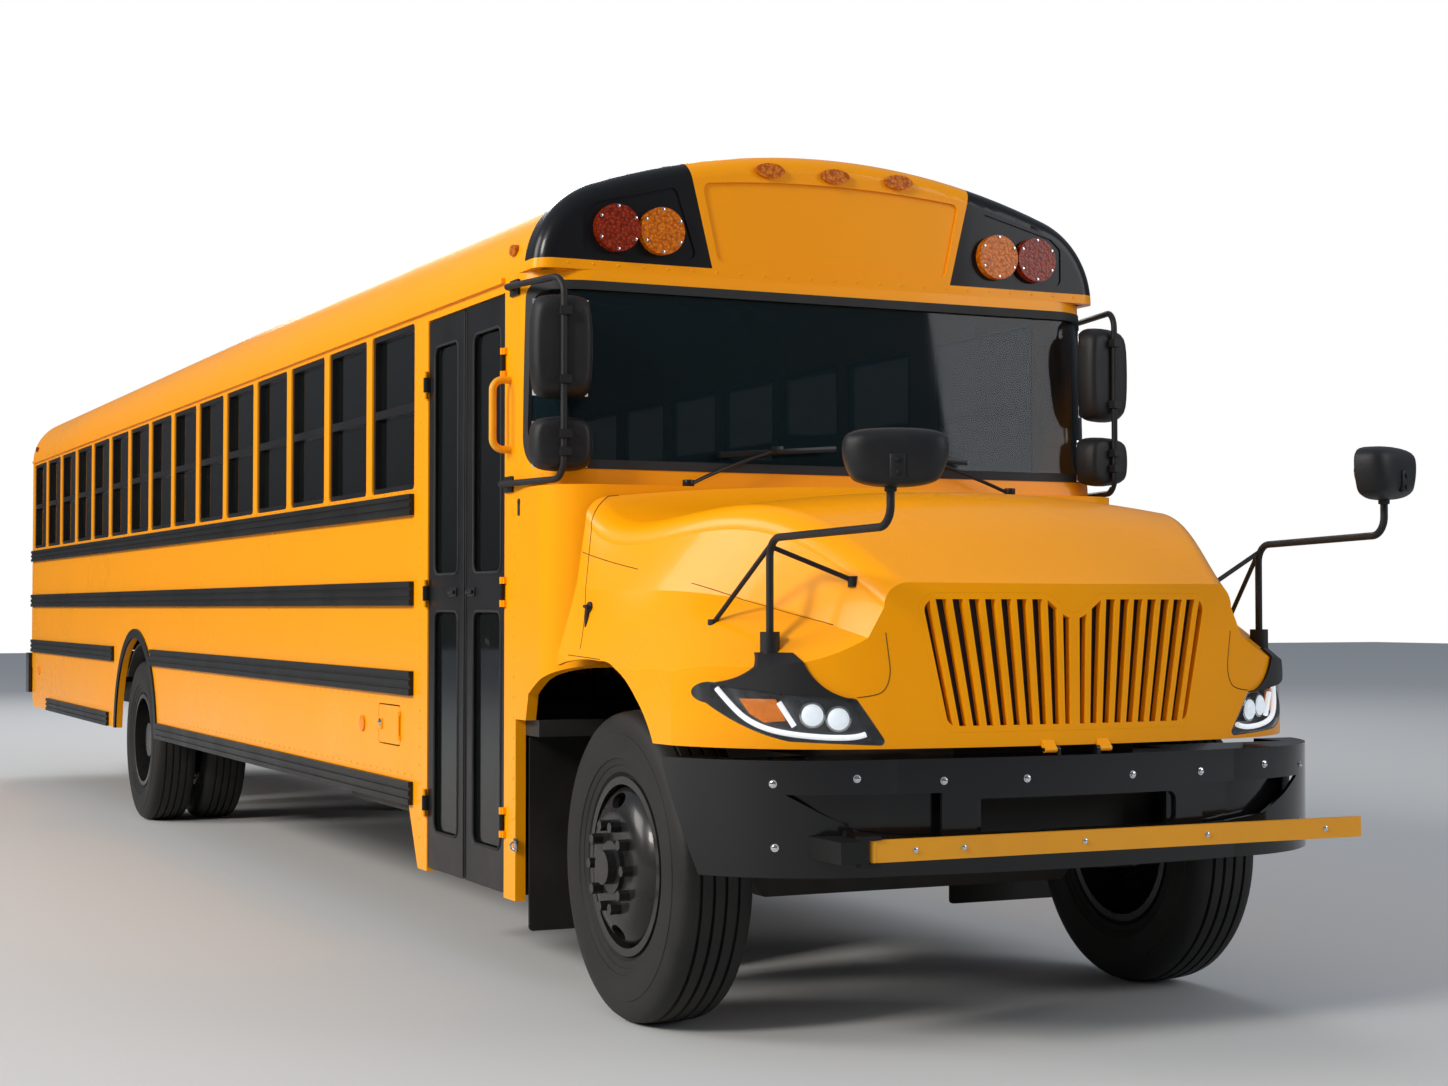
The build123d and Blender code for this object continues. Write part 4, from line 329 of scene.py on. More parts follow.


# Lamp lenses: a coloured plastic with a prism pattern moulded in, and a faint glow; the marker lens also goes
# on the side reflectors, where its glow is painted light
lenses = {
    "amberLens": {"colour": (0.66, 0.19, 0.003), "dark": (0.30, 0.06, 0.001), "prism": 90},
    "redLens": {"colour": (0.30, 0.028, 0.003), "dark": (0.10, 0.006, 0.001), "prism": 90},
    "markerLens": {"colour": (0.98, 0.30, 0.01), "dark": (0.7, 0.16, 0.004), "prism": 180},
}
lensSurface = {
    "spread": 1.6, "glow": 0.2, "rough": 0.24, "shine": 0.2, "coat": 0.15, "bump": 0.6, "bumpDepth": 0.003,
}


def makeLens(name, settings):
    material, tree, shader = startFinish(name)
    cells = placeOn(tree, "ShaderNodeTexVoronoi", {"Scale": settings["prism"]}, feature="SMOOTH_F1")
    distance = cells.outputs["Distance"]
    share = calc(tree, "MULTIPLY", distance, lensSurface["spread"], clamp=True)
    coloured = mixColour(tree, (*settings["colour"], 1), (*settings["dark"], 1), share)
    feed(tree, shader, {
        "Base Color": coloured,
        "Emission Color": coloured,
        "Emission Strength": lensSurface["glow"],
        "Roughness": lensSurface["rough"],
        "Specular IOR Level": lensSurface["shine"],
        "Normal": bumpOf(tree, distance, lensSurface["bump"], lensSurface["bumpDepth"]),
        "Coat Weight": lensSurface["coat"],
    })
    return material


# Lamps that are on, a little uneven as behind a diffuser
glows = {
    "whiteGlow": {"colour": (0.93, 0.96, 1.0), "glow": 0.9},
    "lampBeam": {"colour": (0.86, 0.93, 1.0), "glow": 0.7},
}
glowSurface = {"dim": 0.8, "noiseScale": 60.0, "rough": 0.2}


def makeGlow(name, settings):
    material, tree, shader = startFinish(name)
    colour = settings["colour"]
    dim = [glowSurface["dim"] * channel for channel in colour]
    tinted = mixColour(tree, (*colour, 1), (*dim, 1), noiseOn(tree, glowSurface["noiseScale"], 2.0))
    feed(tree, shader, {
        "Base Color": tinted,
        "Emission Color": tinted,
        "Emission Strength": settings["glow"],
        "Roughness": glowSurface["rough"],
    })
    return material


made = {}
for make, table in ((makeFinish, finishes), (makeGlass, glasses), (makeLens, lenses), (makeGlow, glows)):
    for name, settings in table.items():
        made[name] = make(name, settings)


def copyFinish(finish, name):
    # A copy to change, with the place on the object along each axis.
    material = made[finish].copy()
    material.name = name
    tree = material.node_tree
    spot = placeOn(tree, "ShaderNodeSeparateXYZ", {}).outputs
    return material, tree, tree.nodes["Principled BSDF"], spot


# The front cap: yellow with black wings outside a slanted edge
capWings = {"edge": 0.518, "edgeHeight": 2.676, "slant": 0.2463, "colour": (0.007, 0.007, 0.008, 1)}


def makeCapFinish():
    material, tree, shader, spot = copyFinish("busYellow", "capTwoTone")
    rise = calc(tree, "SUBTRACT", spot["Z"], capWings["edgeHeight"])
    edge = calc(tree, "MULTIPLY_ADD", rise, capWings["slant"], capWings["edge"])
    side = calc(tree, "ABSOLUTE", spot["X"])
    outside = calc(tree, "GREATER_THAN", calc(tree, "SUBTRACT", side, edge), 0.0)
    wing = calc(tree, "MULTIPLY", outside, calc(tree, "GREATER_THAN", rise, 0.0))
    yellow = shader.inputs["Base Color"].links[0].from_socket
    feed(tree, shader, {"Base Color": mixColour(tree, yellow, capWings["colour"], wing)})
    return material


made["capTwoTone"] = makeCapFinish()

# Tyres: the cuts across the outer ribs go round the axle
axles = {"front": -5.685, "rear": 2.445, "height": 0.527}
tyreCuts = {"count": 84, "width": 0.16, "treadRadius": 0.508, "strength": 0.9, "depth": 0.004}


def makeTyreFinish(name, axleY):
    material, tree, shader, spot = copyFinish("tyreRubber", name)
    along = calc(tree, "SUBTRACT", spot["Y"], axleY)
    up = calc(tree, "SUBTRACT", spot["Z"], axles["height"])
    turn = calc(tree, "MULTIPLY", calc(tree, "ARCTAN2", up, along), tyreCuts["count"] / (2 * pi))
    cut = calc(tree, "LESS_THAN", calc(tree, "FRACT", turn), tyreCuts["width"])
    squares = calc(tree, "ADD", calc(tree, "POWER", along, 2.0), calc(tree, "POWER", up, 2.0))
    outer = calc(tree, "GREATER_THAN", calc(tree, "SQRT", squares), tyreCuts["treadRadius"])
    height = calc(tree, "MULTIPLY", cut, outer)
    grain = shader.inputs["Normal"].links[0].from_socket
    normal = bumpOf(tree, height, tyreCuts["strength"], tyreCuts["depth"], grain, True)
    feed(tree, shader, {"Normal": normal})
    return material


made["frontTyre"] = makeTyreFinish("frontTyre", axles["front"])
made["rearTyre"] = makeTyreFinish("rearTyre", axles["rear"])
print("finishes made")

# Which finish each carried-over solid takes
nodeFinishes = {
    "busYellow": [
        "roof", "roof_hatch_bays", "right_wall", "left_wall", "windshield_frame", "cowl", "rear_wall",
        "door_header", "hood_shell", "fuel_door", "rear_door", "grille",
    ],
    "capTwoTone": ["front_cap"],
    "yellowPlastic": ["crossing_arm", "grab_rail"],
    "glossBlack": ["front_bumper", "rear_bumper", "headlights"],
    "railBlack": ["side_trim", "arm_brackets"],
    "frameBlack": ["window_sashes", "door_leaf_front", "door_leaf_rear"],
    # grille_screen is a black sheet behind the grille bars, partly the dark radiator there and partly painted
    # shade for the void behind them
    "mouldedBlack": ["cross_view_mirrors", "side_mirrors", "dash", "grille_screen"],
    "chassisBlack": [
        "chassis_frame", "front_axle", "rear_axle", "drive_shaft", "leaf_springs", "fuel_tank",
        "knuckle_left", "knuckle_right",
    ],
    "wheelBlack": ["front_rim_left", "front_rim_right", "rear_rims_left", "rear_rims_right"],
    "tyreRubber": ["front_tyre_left", "front_tyre_right", "rear_tyres_left", "rear_tyres_right"],
    "castBlock": ["engine_block"],
    "exhaustSteel": ["exhaust"],
    "sealRubber": ["windshield_trim"],
    "flapRubber": ["mud_flaps"],
    "hatchPlastic": ["roof_hatch_front", "roof_hatch_rear"],
    "ribbedFloor": ["floor"],
    "seatVinyl": ["seats"],
    "signWhite": ["stop_sign"],
    "sideGlass": ["window_panes", "rear_door_glass", "door_glass_front", "door_glass_rear"],
    "frontGlass": ["windshield"],
    "amberLens": ["amber_lamps"],
    "redLens": ["red_lamps"],
}
for finish, names in nodeFinishes.items():
    for name in names:
        nodes[name].data.materials.clear()
        nodes[name].data.materials.append(made[finish])
print("finishes assigned")


# Modelling helpers
def clearChoice():
    bpy.ops.object.select_all(action="DESELECT")


def choose(piece):
    clearChoice()
    piece.select_set(True)
    bpy.context.view_layer.objects.active = piece


def modify(piece, kind, **settings):
    # Adds a modifier with its settings and applies it.
    modifier = piece.modifiers.new(kind.lower(), kind)
    for key, value in settings.items():
        setattr(modifier, key, value)
    choose(piece)
    for modifier in list(piece.modifiers):
        bpy.ops.object.modifier_apply(modifier=modifier.name)


def bevelEdges(piece, width, segments=2):
    modify(piece, "BEVEL", width=width, segments=segments, limit_method="ANGLE", angle_limit=radians(30))


def joinPieces(pieces):
    clearChoice()
    for piece in pieces:
        piece.select_set(True)
    bpy.context.view_layer.objects.active = pieces[0]
    if len(pieces) > 1:
        bpy.ops.object.join()
    return pieces[0]


def settle(piece, name, finish, body, smooth=30):
    # The piece's place goes into its mesh, then it takes its name, its finish and its body.
    choose(piece)
    bpy.ops.object.transform_apply()
    if smooth:
        bpy.ops.object.shade_smooth_by_angle(angle=radians(smooth))
    piece.name = name
    piece.data.name = name
    piece.data.materials.clear()
    piece.data.materials.append(made[finish])
    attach(piece, body)
    return piece


def rod(start, end, radius, sides=16, bevel=0.0):
    clearChoice()
    start, end = Vector(start), Vector(end)
    bpy.ops.mesh.primitive_cylinder_add(
        vertices=sides, radius=radius, depth=(end - start).length, location=(start + end) / 2,
        rotation=(end - start).to_track_quat("Z", "Y").to_euler(),
    )
    piece = bpy.context.object
    if bevel:
        bevelEdges(piece, bevel)
    return piece


def block(centre, size, bevel, turn=(0, 0, 0), segments=2):
    clearChoice()
    bpy.ops.mesh.primitive_cube_add(size=1, location=centre, rotation=turn)
    piece = bpy.context.object
    piece.scale = size
    bpy.ops.object.transform_apply(location=False, rotation=False)
    bevelEdges(piece, bevel, segments)
    return piece


def ball(radius, sides, rings, size, spot, turn):
    # A ball squashed along its axes.
    clearChoice()
    bpy.ops.mesh.primitive_uv_sphere_add(
        segments=sides, ring_count=rings, radius=radius, location=spot, rotation=turn
    )
    piece = bpy.context.object
    piece.scale = size
    return piece


def bolt(spot, out, size, height):
    # A hexagon head on a washer, standing out along a direction.
    spot, out = Vector(spot), Vector(out).normalized()
    washer = rod(spot - out * 0.002, spot + out * 0.0022, size * 1.25, 20)
    head = rod(spot, spot + out * (height + 0.002), size, 6, size * 0.14)
    return joinPieces([washer, head])


def lineThrough(points, name, smooth=0, cyclic=False):
    # A straight-sided line through the points, or a smooth one along them in a number of steps.
    clearChoice()
    data = bpy.data.curves.new(name, "CURVE")
    data.dimensions = "3D"
    line = data.splines.new("NURBS" if smooth else "POLY")
    line.points.add(len(points) - 1)
    for point, spot in zip(line.points, points):
        point.co = (*spot, 1)
    line.use_cyclic_u = cyclic
    if smooth:
        line.order_u = 3
        line.use_endpoint_u = True
        data.resolution_u = smooth
    return addObject(name, data)


def asMesh(piece):
    choose(piece)
    bpy.ops.object.convert(target="MESH")
    return bpy.context.object


def asRod(line, radius, rounding):
    line.data.bevel_depth = radius
    line.data.bevel_resolution = rounding
    line.data.use_fill_caps = True
    return asMesh(line)


def bendRod(points, radius, name, steps=8):
    return asRod(lineThrough(points, name, smooth=steps), radius, 3)


def copyOf(piece):
    choose(piece)
    bpy.ops.object.duplicate()
    bpy.ops.object.transform_apply()
    return bpy.context.object


def mirrored(piece):
    # A copy on the other side of the bus, with its own mesh and its faces outwards.
    other = copyOf(piece)
    bpy.ops.transform.mirror(constraint_axis=(True, False, False), center_override=(0, 0, 0))
    bpy.ops.object.transform_apply()
    facesOut(other)
    return other


def turned(points, centre, steps):
    # A closed profile of (along the axle, radius) turned about an axle across the bus.
    piece = asMesh(lineThrough([(along, 0, radius) for along, radius in points], "profile", cyclic=True))
    modify(
        piece, "SCREW", axis="X", angle=radians(360), steps=steps, render_steps=steps,
        use_merge_vertices=True, merge_threshold=0.0002, use_normal_calculate=True,
    )
    facesOut(piece)
    piece.location = centre
    bpy.ops.object.transform_apply()
    return piece


def editWhole(piece, *steps):
    # Each step works on all of the piece in edit mode.
    choose(piece)
    bpy.ops.object.mode_set(mode="EDIT")
    for step in steps:
        bpy.ops.mesh.select_all(action="SELECT")
        step()
    bpy.ops.object.mode_set(mode="OBJECT")


def facesOut(piece):
    editWhole(piece, lambda: bpy.ops.mesh.normals_make_consistent(inside=False))


def seamLine(points, target, radius, name):
    # A thin line laid on a surface: a smooth path, pressed onto the target, then made round.
    piece = asMesh(lineThrough(points, name, smooth=14))
    modify(piece, "SHRINKWRAP", target=target, wrap_method="NEAREST_SURFACEPOINT")
    choose(piece)
    bpy.ops.object.convert(target="CURVE")
    return asRod(bpy.context.object, radius, 1)


def spotOn(name, point):
    # The nearest place on a carried-over solid, and the way out of it.
    _, spot, normal, _ = nodes[name].closest_point_on_mesh(Vector(point))
    return spot, normal.normalized()


def boltsOn(name, points, size, height):
    # Bolts on both sides of a carried-over solid, near the places given.
    pieces = []
    for point in points:
        for side in (1, -1):
            spot, normal = spotOn(name, (side * point[0], point[1], point[2]))
            pieces.append(bolt(spot, normal, size, height))
    return joinPieces(pieces)


print("helpers ready")

# Tyres: half of the profile as (from the middle, radius), from the bead over the side wall to the tread
tyre = {
    "half": (
        (0.105, 0.2865), (0.105, 0.304), (0.113, 0.316), (0.117, 0.318), (0.122, 0.340), (0.125, 0.342),
        (0.131, 0.362), (0.1345, 0.364), (0.1385, 0.392), (0.140, 0.428), (0.139, 0.450), (0.1365, 0.4515),
        (0.135, 0.468), (0.132, 0.482), (0.127, 0.497), (0.119, 0.509), (0.107, 0.5175), (0.091, 0.522),
        (0.073, 0.5245), (0.0705, 0.513), (0.0625, 0.513), (0.060, 0.5258), (0.028, 0.5268),
        (0.0255, 0.513), (0.0175, 0.513), (0.015, 0.527),
    ),
    "steps": 96,
    "frontX": 1.005,
    "rearXs": (0.722, 1.050),
}


def makeTyre(x, y):
    half = tyre["half"]
    profile = list(half) + [(-along, radius) for along, radius in reversed(half)]
    return turned(profile, (x, y, axles["height"]), tyre["steps"])


for side, label in ((-1, "right"), (1, "left")):
    front = settle(
        makeTyre(side * tyre["frontX"], axles["front"]), "frontTyre" + label.title(), "frontTyre",
        "front_wheel_" + label,
    )
    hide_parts("front_tyre_" + label)
    pair = joinPieces([makeTyre(side * x, axles["rear"]) for x in tyre["rearXs"]])
    pair = settle(pair, "rearTyres" + label.title(), "rearTyre", "rear_wheels_" + label)
    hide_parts("rear_tyres_" + label)
print("tyres made")

# Headlamps, seen from the front as x and height on the right-hand lamp; depths are behind the cover
lamp = {
    # rounded corner of the nose in plan
    "bendX": 0.5351, "bendY": -6.0081, "bendRadius": 0.6701,
    "skin": 0.012, "coverWall": 0.003,
    "beams": ((0.873, 1.069), (0.798, 1.057)), "beamRadius": 0.034, "beamDepth": 0.030,
    "lensOut": 0.004, "lensFlat": 0.4, "bowlDepth": 0.03, "bowlRim": 0.007,
    "strip": (
        (1.104, 1.149), (1.078, 1.103), (1.038, 1.050), (0.972, 1.016), (0.850, 1.000), (0.742, 0.999),
        (0.716, 1.010),
    ),
    "stripRadius": 0.0088, "stripDepth": 0.020, "barDepth": 0.024,
    "bar": ((0.962, 1.108), (0.922, 1.034)),
    "amber": ((1.060, 1.118), (0.972, 1.118), (0.946, 1.050), (1.000, 1.044), (1.036, 1.072)),
    "amberDepth": 0.034, "amberThick": 0.014,
}


def coverY(x):
    reach = max(abs(x) - lamp["bendX"], 0)
    return lamp["bendY"] - (lamp["bendRadius"] ** 2 - reach**2) ** 0.5


def outwards(x):
    # Direction out of the cover at x.
    side = 1 if x > 0 else -1
    return Vector(((abs(x) - lamp["bendX"]) * side, coverY(x) - lamp["bendY"], 0)).normalized()


def inLamp(x, z, depth):
    return Vector((x, coverY(x), z)) - outwards(x) * depth


def keepFaces(piece, wanted):
    # Deletes the faces that the test doesn't want.
    choose(piece)
    for face in piece.data.polygons:
        face.select = not wanted(face)
    for parts in (piece.data.edges, piece.data.vertices):
        parts.foreach_set("select", [False] * len(parts))
    bpy.ops.object.mode_set(mode="EDIT")
    bpy.ops.mesh.select_mode(type="FACE")
    bpy.ops.mesh.delete(type="FACE")
    bpy.ops.object.mode_set(mode="OBJECT")


def onCover(face):
    x, y, _ = face.center
    return abs((y - coverY(x)) * outwards(x).y) < lamp["skin"]


def makeLampShell(front):
    shell = copyOf(nodes["headlights"])
    keepFaces(shell, lambda face: onCover(face) == front)
    modify(shell, "SOLIDIFY", thickness=lamp["coverWall"], offset=-1.0)
    return shell


def makeLampInsides():
    beams, bowls = [], []
    for x, z in lamp["beams"]:
        out = outwards(-x)
        middle = inLamp(-x, z, lamp["beamDepth"])
        front, radius = middle + out * lamp["lensOut"], lamp["beamRadius"]
        bowls.append(rod(middle - out * lamp["bowlDepth"], front, radius + lamp["bowlRim"], 40, 0.002))
        turn = out.to_track_quat("Z", "Y").to_euler()
        beams.append(ball(radius, 32, 16, (1, 1, lamp["lensFlat"]), front, turn))
    strips = []
    for key, depth, steps in (("strip", "stripDepth", 6), ("bar", "barDepth", 2)):
        points = [inLamp(-x, z, lamp[depth]) for x, z in lamp[key]]
        strips.append(bendRod(points, lamp["stripRadius"], key, steps))
    points = [inLamp(-x, z, lamp["amberDepth"]) for x, z in lamp["amber"]]
    amber = asMesh(lineThrough(points, "amber", cyclic=True))
    editWhole(amber, bpy.ops.mesh.edge_face_add)
    modify(amber, "SOLIDIFY", thickness=lamp["amberThick"], offset=0.0)
    bevelEdges(amber, 0.003)
    return joinPieces(beams), joinPieces(bowls), joinPieces(strips), amber


def bothSides(piece, name, finish, body, smooth=30):
    choose(piece)
    bpy.ops.object.transform_apply()
    return settle(joinPieces([piece, mirrored(piece)]), name, finish, body, smooth)


lampCase = settle(makeLampShell(False), "lampCases", "lampBowl", "hood")
settle(makeLampShell(True), "lampCovers", "lampCover", "hood")
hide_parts("headlights")
beams, bowls, strips, amber = makeLampInsides()
bothSides(beams, "lampLenses", "lampBeam", "hood")
bothSides(bowls, "lampBezels", "brightTrim", "hood")
bothSides(strips, "lampStrips", "whiteGlow", "hood")
bothSides(amber, "lampIndicators", "markerLens", "hood")
print("headlamps made")

# Wipers: an arm and a blade on each side
wipers = {
    "pivot": (0.690, -5.262, 1.845), "elbow": (0.600, -5.225, 1.895), "tip": (0.300, -5.205, 1.992),
    "bladeStart": (0.535, -5.200, 1.968), "bladeEnd": (0.045, -5.196, 2.004),
    "armRadius": 0.007, "bladeWidth": 0.012, "bladeHeight": 0.022,
    # low, high and radius of the hub
    "hub": (1.842, 1.868, 0.022), "knuckle": (0.05, 0.02, 0.03),
    "rubber": (0.014, 0.005), "rubberShift": (0, 0.012, -0.004),
}


def makeWiper():
    w = wipers
    x, y, _ = w["pivot"]
    low, high, radius = w["hub"]
    hub = rod((x, y, low), (x, y, high), radius, 24, 0.004)
    arm = bendRod([w["pivot"], w["elbow"], w["tip"]], w["armRadius"], "arm")
    start, end = Vector(w["bladeStart"]), Vector(w["bladeEnd"])
    tilt = -atan2(end.z - start.z, end.x - start.x)
    middle, length = (start + end) / 2, (end - start).length
    blade = block(middle, (length, w["bladeWidth"], w["bladeHeight"]), 0.003, (0, tilt, 0))
    rubber = block(middle + Vector(w["rubberShift"]), (length, *w["rubber"]), 0.001, (0, tilt, 0))
    knuckle = block(w["tip"], w["knuckle"], 0.005, (0, tilt, 0))
    return joinPieces([hub, arm, blade, rubber, knuckle])


leftWiper = settle(makeWiper(), "wiperLeft", "frameBlack", "body")
settle(mirrored(leftWiper), "wiperRight", "frameBlack", "body")
print("wipers made")

# Bolts that show: on the bumper, round the roof lamps and on the crossing arm
bolts = {
    "bumper": (
        (-1.009, -6.590, 0.864), (-0.774, -6.693, 0.879), (-0.487, -6.727, 0.866), (-1.004, -6.593, 0.670),
        (-0.516, -6.723, 0.650), (-0.200, -6.757, 0.866),
    ),
    "lampXs": (0.731, 0.911), "lampHeight": 2.799, "lampRing": 0.079, "lampCount": 6, "lampYs": (-5.14, 7.19),
    "armXs": (-0.66, -0.49, -0.05, 0.42, 0.90), "armY": -6.851, "armZ": 0.673,
    # radius and height of the heads
    "bumperHead": (0.010, 0.006), "armHead": (0.0075, 0.004), "screwRadius": 0.006,
}


def lampScrews():
    # Small screws round each warning lamp at the front and the rear.
    pieces = []
    for node, x in zip(("amber_lamps", "red_lamps"), bolts["lampXs"]):
        for index in range(bolts["lampCount"]):
            angle = 2 * pi * (index + 0.5) / bolts["lampCount"]
            dx, dz = bolts["lampRing"] * cos(angle), bolts["lampRing"] * sin(angle)
            for y in bolts["lampYs"]:
                for side in (-1, 1):
                    spot, normal = spotOn(node, (side * x + dx, y, bolts["lampHeight"] + dz))
                    low, high = spot - normal * 0.002, spot + normal * 0.003
                    pieces.append(rod(low, high, bolts["screwRadius"], 12, 0.001))
    return joinPieces(pieces)


bumperBolts = boltsOn("front_bumper", bolts["bumper"], *bolts["bumperHead"])
settle(bumperBolts, "bumperBolts", "brightTrim", "body")
settle(lampScrews(), "lampScrews", "brightTrim", "body")
armBolts = []
for x in bolts["armXs"]:
    spot, normal = spotOn("crossing_arm", (x, bolts["armY"], bolts["armZ"]))
    armBolts.append(bolt(spot, normal, *bolts["armHead"]))
settle(joinPieces(armBolts), "armBolts", "brightTrim", "crossing_gate")
print("bolts made")

# Hood: thin dark lines of painted shade along the pressed lines and panel edges, and a draw latch on each
# side
hood = {
    "radius": 0.0016,
    "lines": (
        ((1.137, -5.318, 1.600), (1.089, -5.572, 1.545), (0.980, -5.994, 1.476), (0.884, -6.247, 1.410),
         (0.780, -6.464, 1.356), (0.700, -6.590, 1.325)),
        ((1.209, -5.388, 1.236), (1.195, -5.560, 1.232), (1.172, -5.900, 1.200), (1.140, -6.270, 1.172)),
        ((0.990, -5.320, 1.845), (1.039, -5.313, 1.795), (1.102, -5.345, 1.711), (1.127, -5.369, 1.569),
         (1.155, -5.422, 1.428), (1.200, -5.460, 1.260)),
        ((0.540, -6.500, 1.560), (0.640, -6.572, 1.525), (0.667, -6.647, 1.425), (0.651, -6.668, 1.270),
         (0.641, -6.670, 1.199), (0.657, -6.667, 1.147), (0.692, -6.660, 1.129), (0.747, -6.644, 1.124)),
    ),
    "latch": (1.156, -5.462, 1.403), "latchReach": (0, 0.01, -0.07), "latchBend": (0, 0, -0.03),
    "cupRadius": 0.019, "neckRadius": 0.007, "keeperRadius": 0.012,
    "gripHalf": (0, 0.016, 0), "gripRadius": 0.006,
}


def makeLatch():
    # A rubber draw latch with its keeper on the cowl side.
    spot, normal = spotOn("hood_shell", hood["latch"])
    end = spot + Vector(hood["latchReach"])
    bend, half = spot + normal * 0.014 + Vector(hood["latchBend"]), Vector(hood["gripHalf"])
    cup = rod(spot - normal * 0.003, spot + normal * 0.008, hood["cupRadius"], 24, 0.003)
    neck = bendRod([spot + normal * 0.010, bend, end + normal * 0.010], hood["neckRadius"], "neck", 6)
    keeper = rod(end + normal * 0.004, end + normal * 0.012, hood["keeperRadius"], 18, 0.002)
    grip = rod(spot + normal * 0.016 - half, spot + normal * 0.016 + half, hood["gripRadius"])
    return joinPieces([cup, neck, keeper, grip])


hoodLines = []
for points in hood["lines"]:
    for side in (-1, 1):
        path = [(side * x, y, z) for x, y, z in points]
        hoodLines.append(seamLine(path, nodes["hood_shell"], hood["radius"], "hoodLine"))
# the hood lines take the painted shade finish, a dark yellow
settle(joinPieces(hoodLines), "hoodLines", "paintedSeamShade", "hood")
bothSides(makeLatch(), "hoodLatches", "sealRubber", "hood")
print("hood lines made")

# Mirror shells: one outline at several depths, lofted and rounded, in place of the solid housings
shells = {
    "levels": 2,
    "eye": (0.897, -7.1516, 1.832), "eyeTurn": 25.0, "eyeCut": 0.032, "eyeBox": (0.170, 0.092, -0.050, 0.072),
    "eyeOutline": (
        (-0.158, 0.085), (0.158, 0.085), (0.150, -0.045), (0.095, -0.088), (-0.095, -0.088), (-0.150, -0.045),
    ),
    # how far ahead, and the outline's share there
    "eyeRings": ((-0.045, 0.97), (-0.038, 1.0), (0.010, 1.0), (0.038, 0.94), (0.056, 0.78), (0.064, 0.50)),
    # bracket and bolts: how far ahead and up
    "bracketAt": (0.062, -0.030), "boltsAt": ((0.068, -0.012), (0.068, -0.048)),
    "bracket": (0.046, 0.014, 0.070), "bolt": (0.007, 0.005),
    "collar": (0.008, 0.016, -0.100), "collarHeight": 0.030, "collarRadius": 0.018,
    "pole": (1.176, -5.260), "poleTurn": 12.0, "width": 0.235, "cut": 0.034, "spare": 0.002,
    # middle height, height and depth of each housing
    "housings": ((2.338, 0.386, 0.088), (1.989, 0.202, 0.098)),
    "rings": ((0.0, 0.70), (0.06, 0.85), (0.40, 0.97), (0.94, 1.0), (1.0, 0.975)),
}


def cutCorners(outline, cut):
    # Two points beside each corner, for a round one.
    points = []
    for index, corner in enumerate(outline):
        corner = Vector(corner)
        for other in (outline[index - 1], outline[(index + 1) % len(outline)]):
            way = Vector(other) - corner
            points.append(corner + way.normalized() * min(cut, 0.4 * way.length))
    return points


def loftShell(outline, rings, origin, across, ahead):
    loops = []
    for reach, share in rings:
        middle = origin + ahead * reach
        ring = [middle + across * x * share + Vector((0, 0, z * share)) for x, z in outline]
        loops.append(asMesh(lineThrough(ring, "ring", cyclic=True)))
    piece = joinPieces(loops)
    editWhole(
        piece,
        lambda: bpy.ops.mesh.select_mode(type="EDGE"),
        bpy.ops.mesh.bridge_edge_loops,
        lambda: bpy.ops.mesh.fill_holes(sides=0),
    )
    modify(piece, "SUBSURF", levels=shells["levels"], render_levels=shells["levels"])
    facesOut(piece)
    return piece


def shellWays(side, turn, facing):
    # Directions across a mirror and out of it: ahead with facing -1, behind with 1.
    turn = radians(turn)
    return Vector((cos(turn), side * sin(turn), 0)), facing * Vector((-side * sin(turn), cos(turn), 0))


def inBox(face, centre, turn, facing, box):
    # Whether a face is in a mirror's box: half width, half height, and from where to where it reaches out.
    side = 1 if face.center.x > 0 else -1
    across, out = shellWays(side, turn, facing)
    x, y, z = centre
    offset = face.center - Vector((side * x, y, z))
    width, height, low, high = box
    return abs(offset.dot(across)) < width and abs(offset.z) < height and low < offset.dot(out) < high


def inEyeShell(face):
    return inBox(face, shells["eye"], shells["eyeTurn"], -1, shells["eyeBox"])


def inPoleShell(face):
    spare = shells["spare"]
    for middle, height, depth in shells["housings"]:
        box = (shells["width"] / 2 + spare, height / 2 + spare, -spare / 2, depth + spare)
        if inBox(face, (*shells["pole"], middle), shells["poleTurn"], 1, box):
            return True
    return False


def makeEyeShell():
    # The shell on the +x side with its bracket and collar.
    across, ahead = shellWays(1, shells["eyeTurn"], -1)
    origin, turn = Vector(shells["eye"]), (0, 0, radians(shells["eyeTurn"]))
    outline = cutCorners(shells["eyeOutline"], shells["eyeCut"])
    shell = loftShell(outline, shells["eyeRings"], origin, across, ahead)
    middle, *heads = [
        origin + ahead * reach + Vector((0, 0, up)) for reach, up in (shells["bracketAt"], *shells["boltsAt"])
    ]
    bracket = block(middle, shells["bracket"], 0.004, turn)
    stem = origin + Vector(shells["collar"])
    collar = rod(stem, stem + Vector((0, 0, shells["collarHeight"])), shells["collarRadius"], 24, 0.003)
    return joinPieces([shell, bracket, collar] + [bolt(head, ahead, *shells["bolt"]) for head in heads])


def makePoleShells():
    across, behind = shellWays(1, shells["poleTurn"], 1)
    pieces = []
    for middle, height, depth in shells["housings"]:
        half, tall = shells["width"] / 2, height / 2
        outline = cutCorners(((-half, tall), (half, tall), (half, -tall), (-half, -tall)), shells["cut"])
        rings = [(share * depth, size) for share, size in shells["rings"]]
        origin = Vector((*shells["pole"], middle))
        pieces.append(loftShell(outline, rings, origin, across, behind))
    return joinPieces(pieces)


def makeMirrorArms(node, inShell, name, body):
    arms = copyOf(nodes[node])
    keepFaces(arms, lambda face: not inShell(face))
    arms = settle(arms, name, "mouldedBlack", body)
    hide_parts(node)


makeMirrorArms("cross_view_mirrors", inEyeShell, "crossViewArms", "hood")
makeMirrorArms("side_mirrors", inPoleShell, "mirrorArms", "body")
bothSides(makeEyeShell(), "crossViewShells", "mouldedBlack", "hood", 45)
bothSides(makePoleShells(), "mirrorShells", "mouldedBlack", "body", 45)
print("mirror shells made")

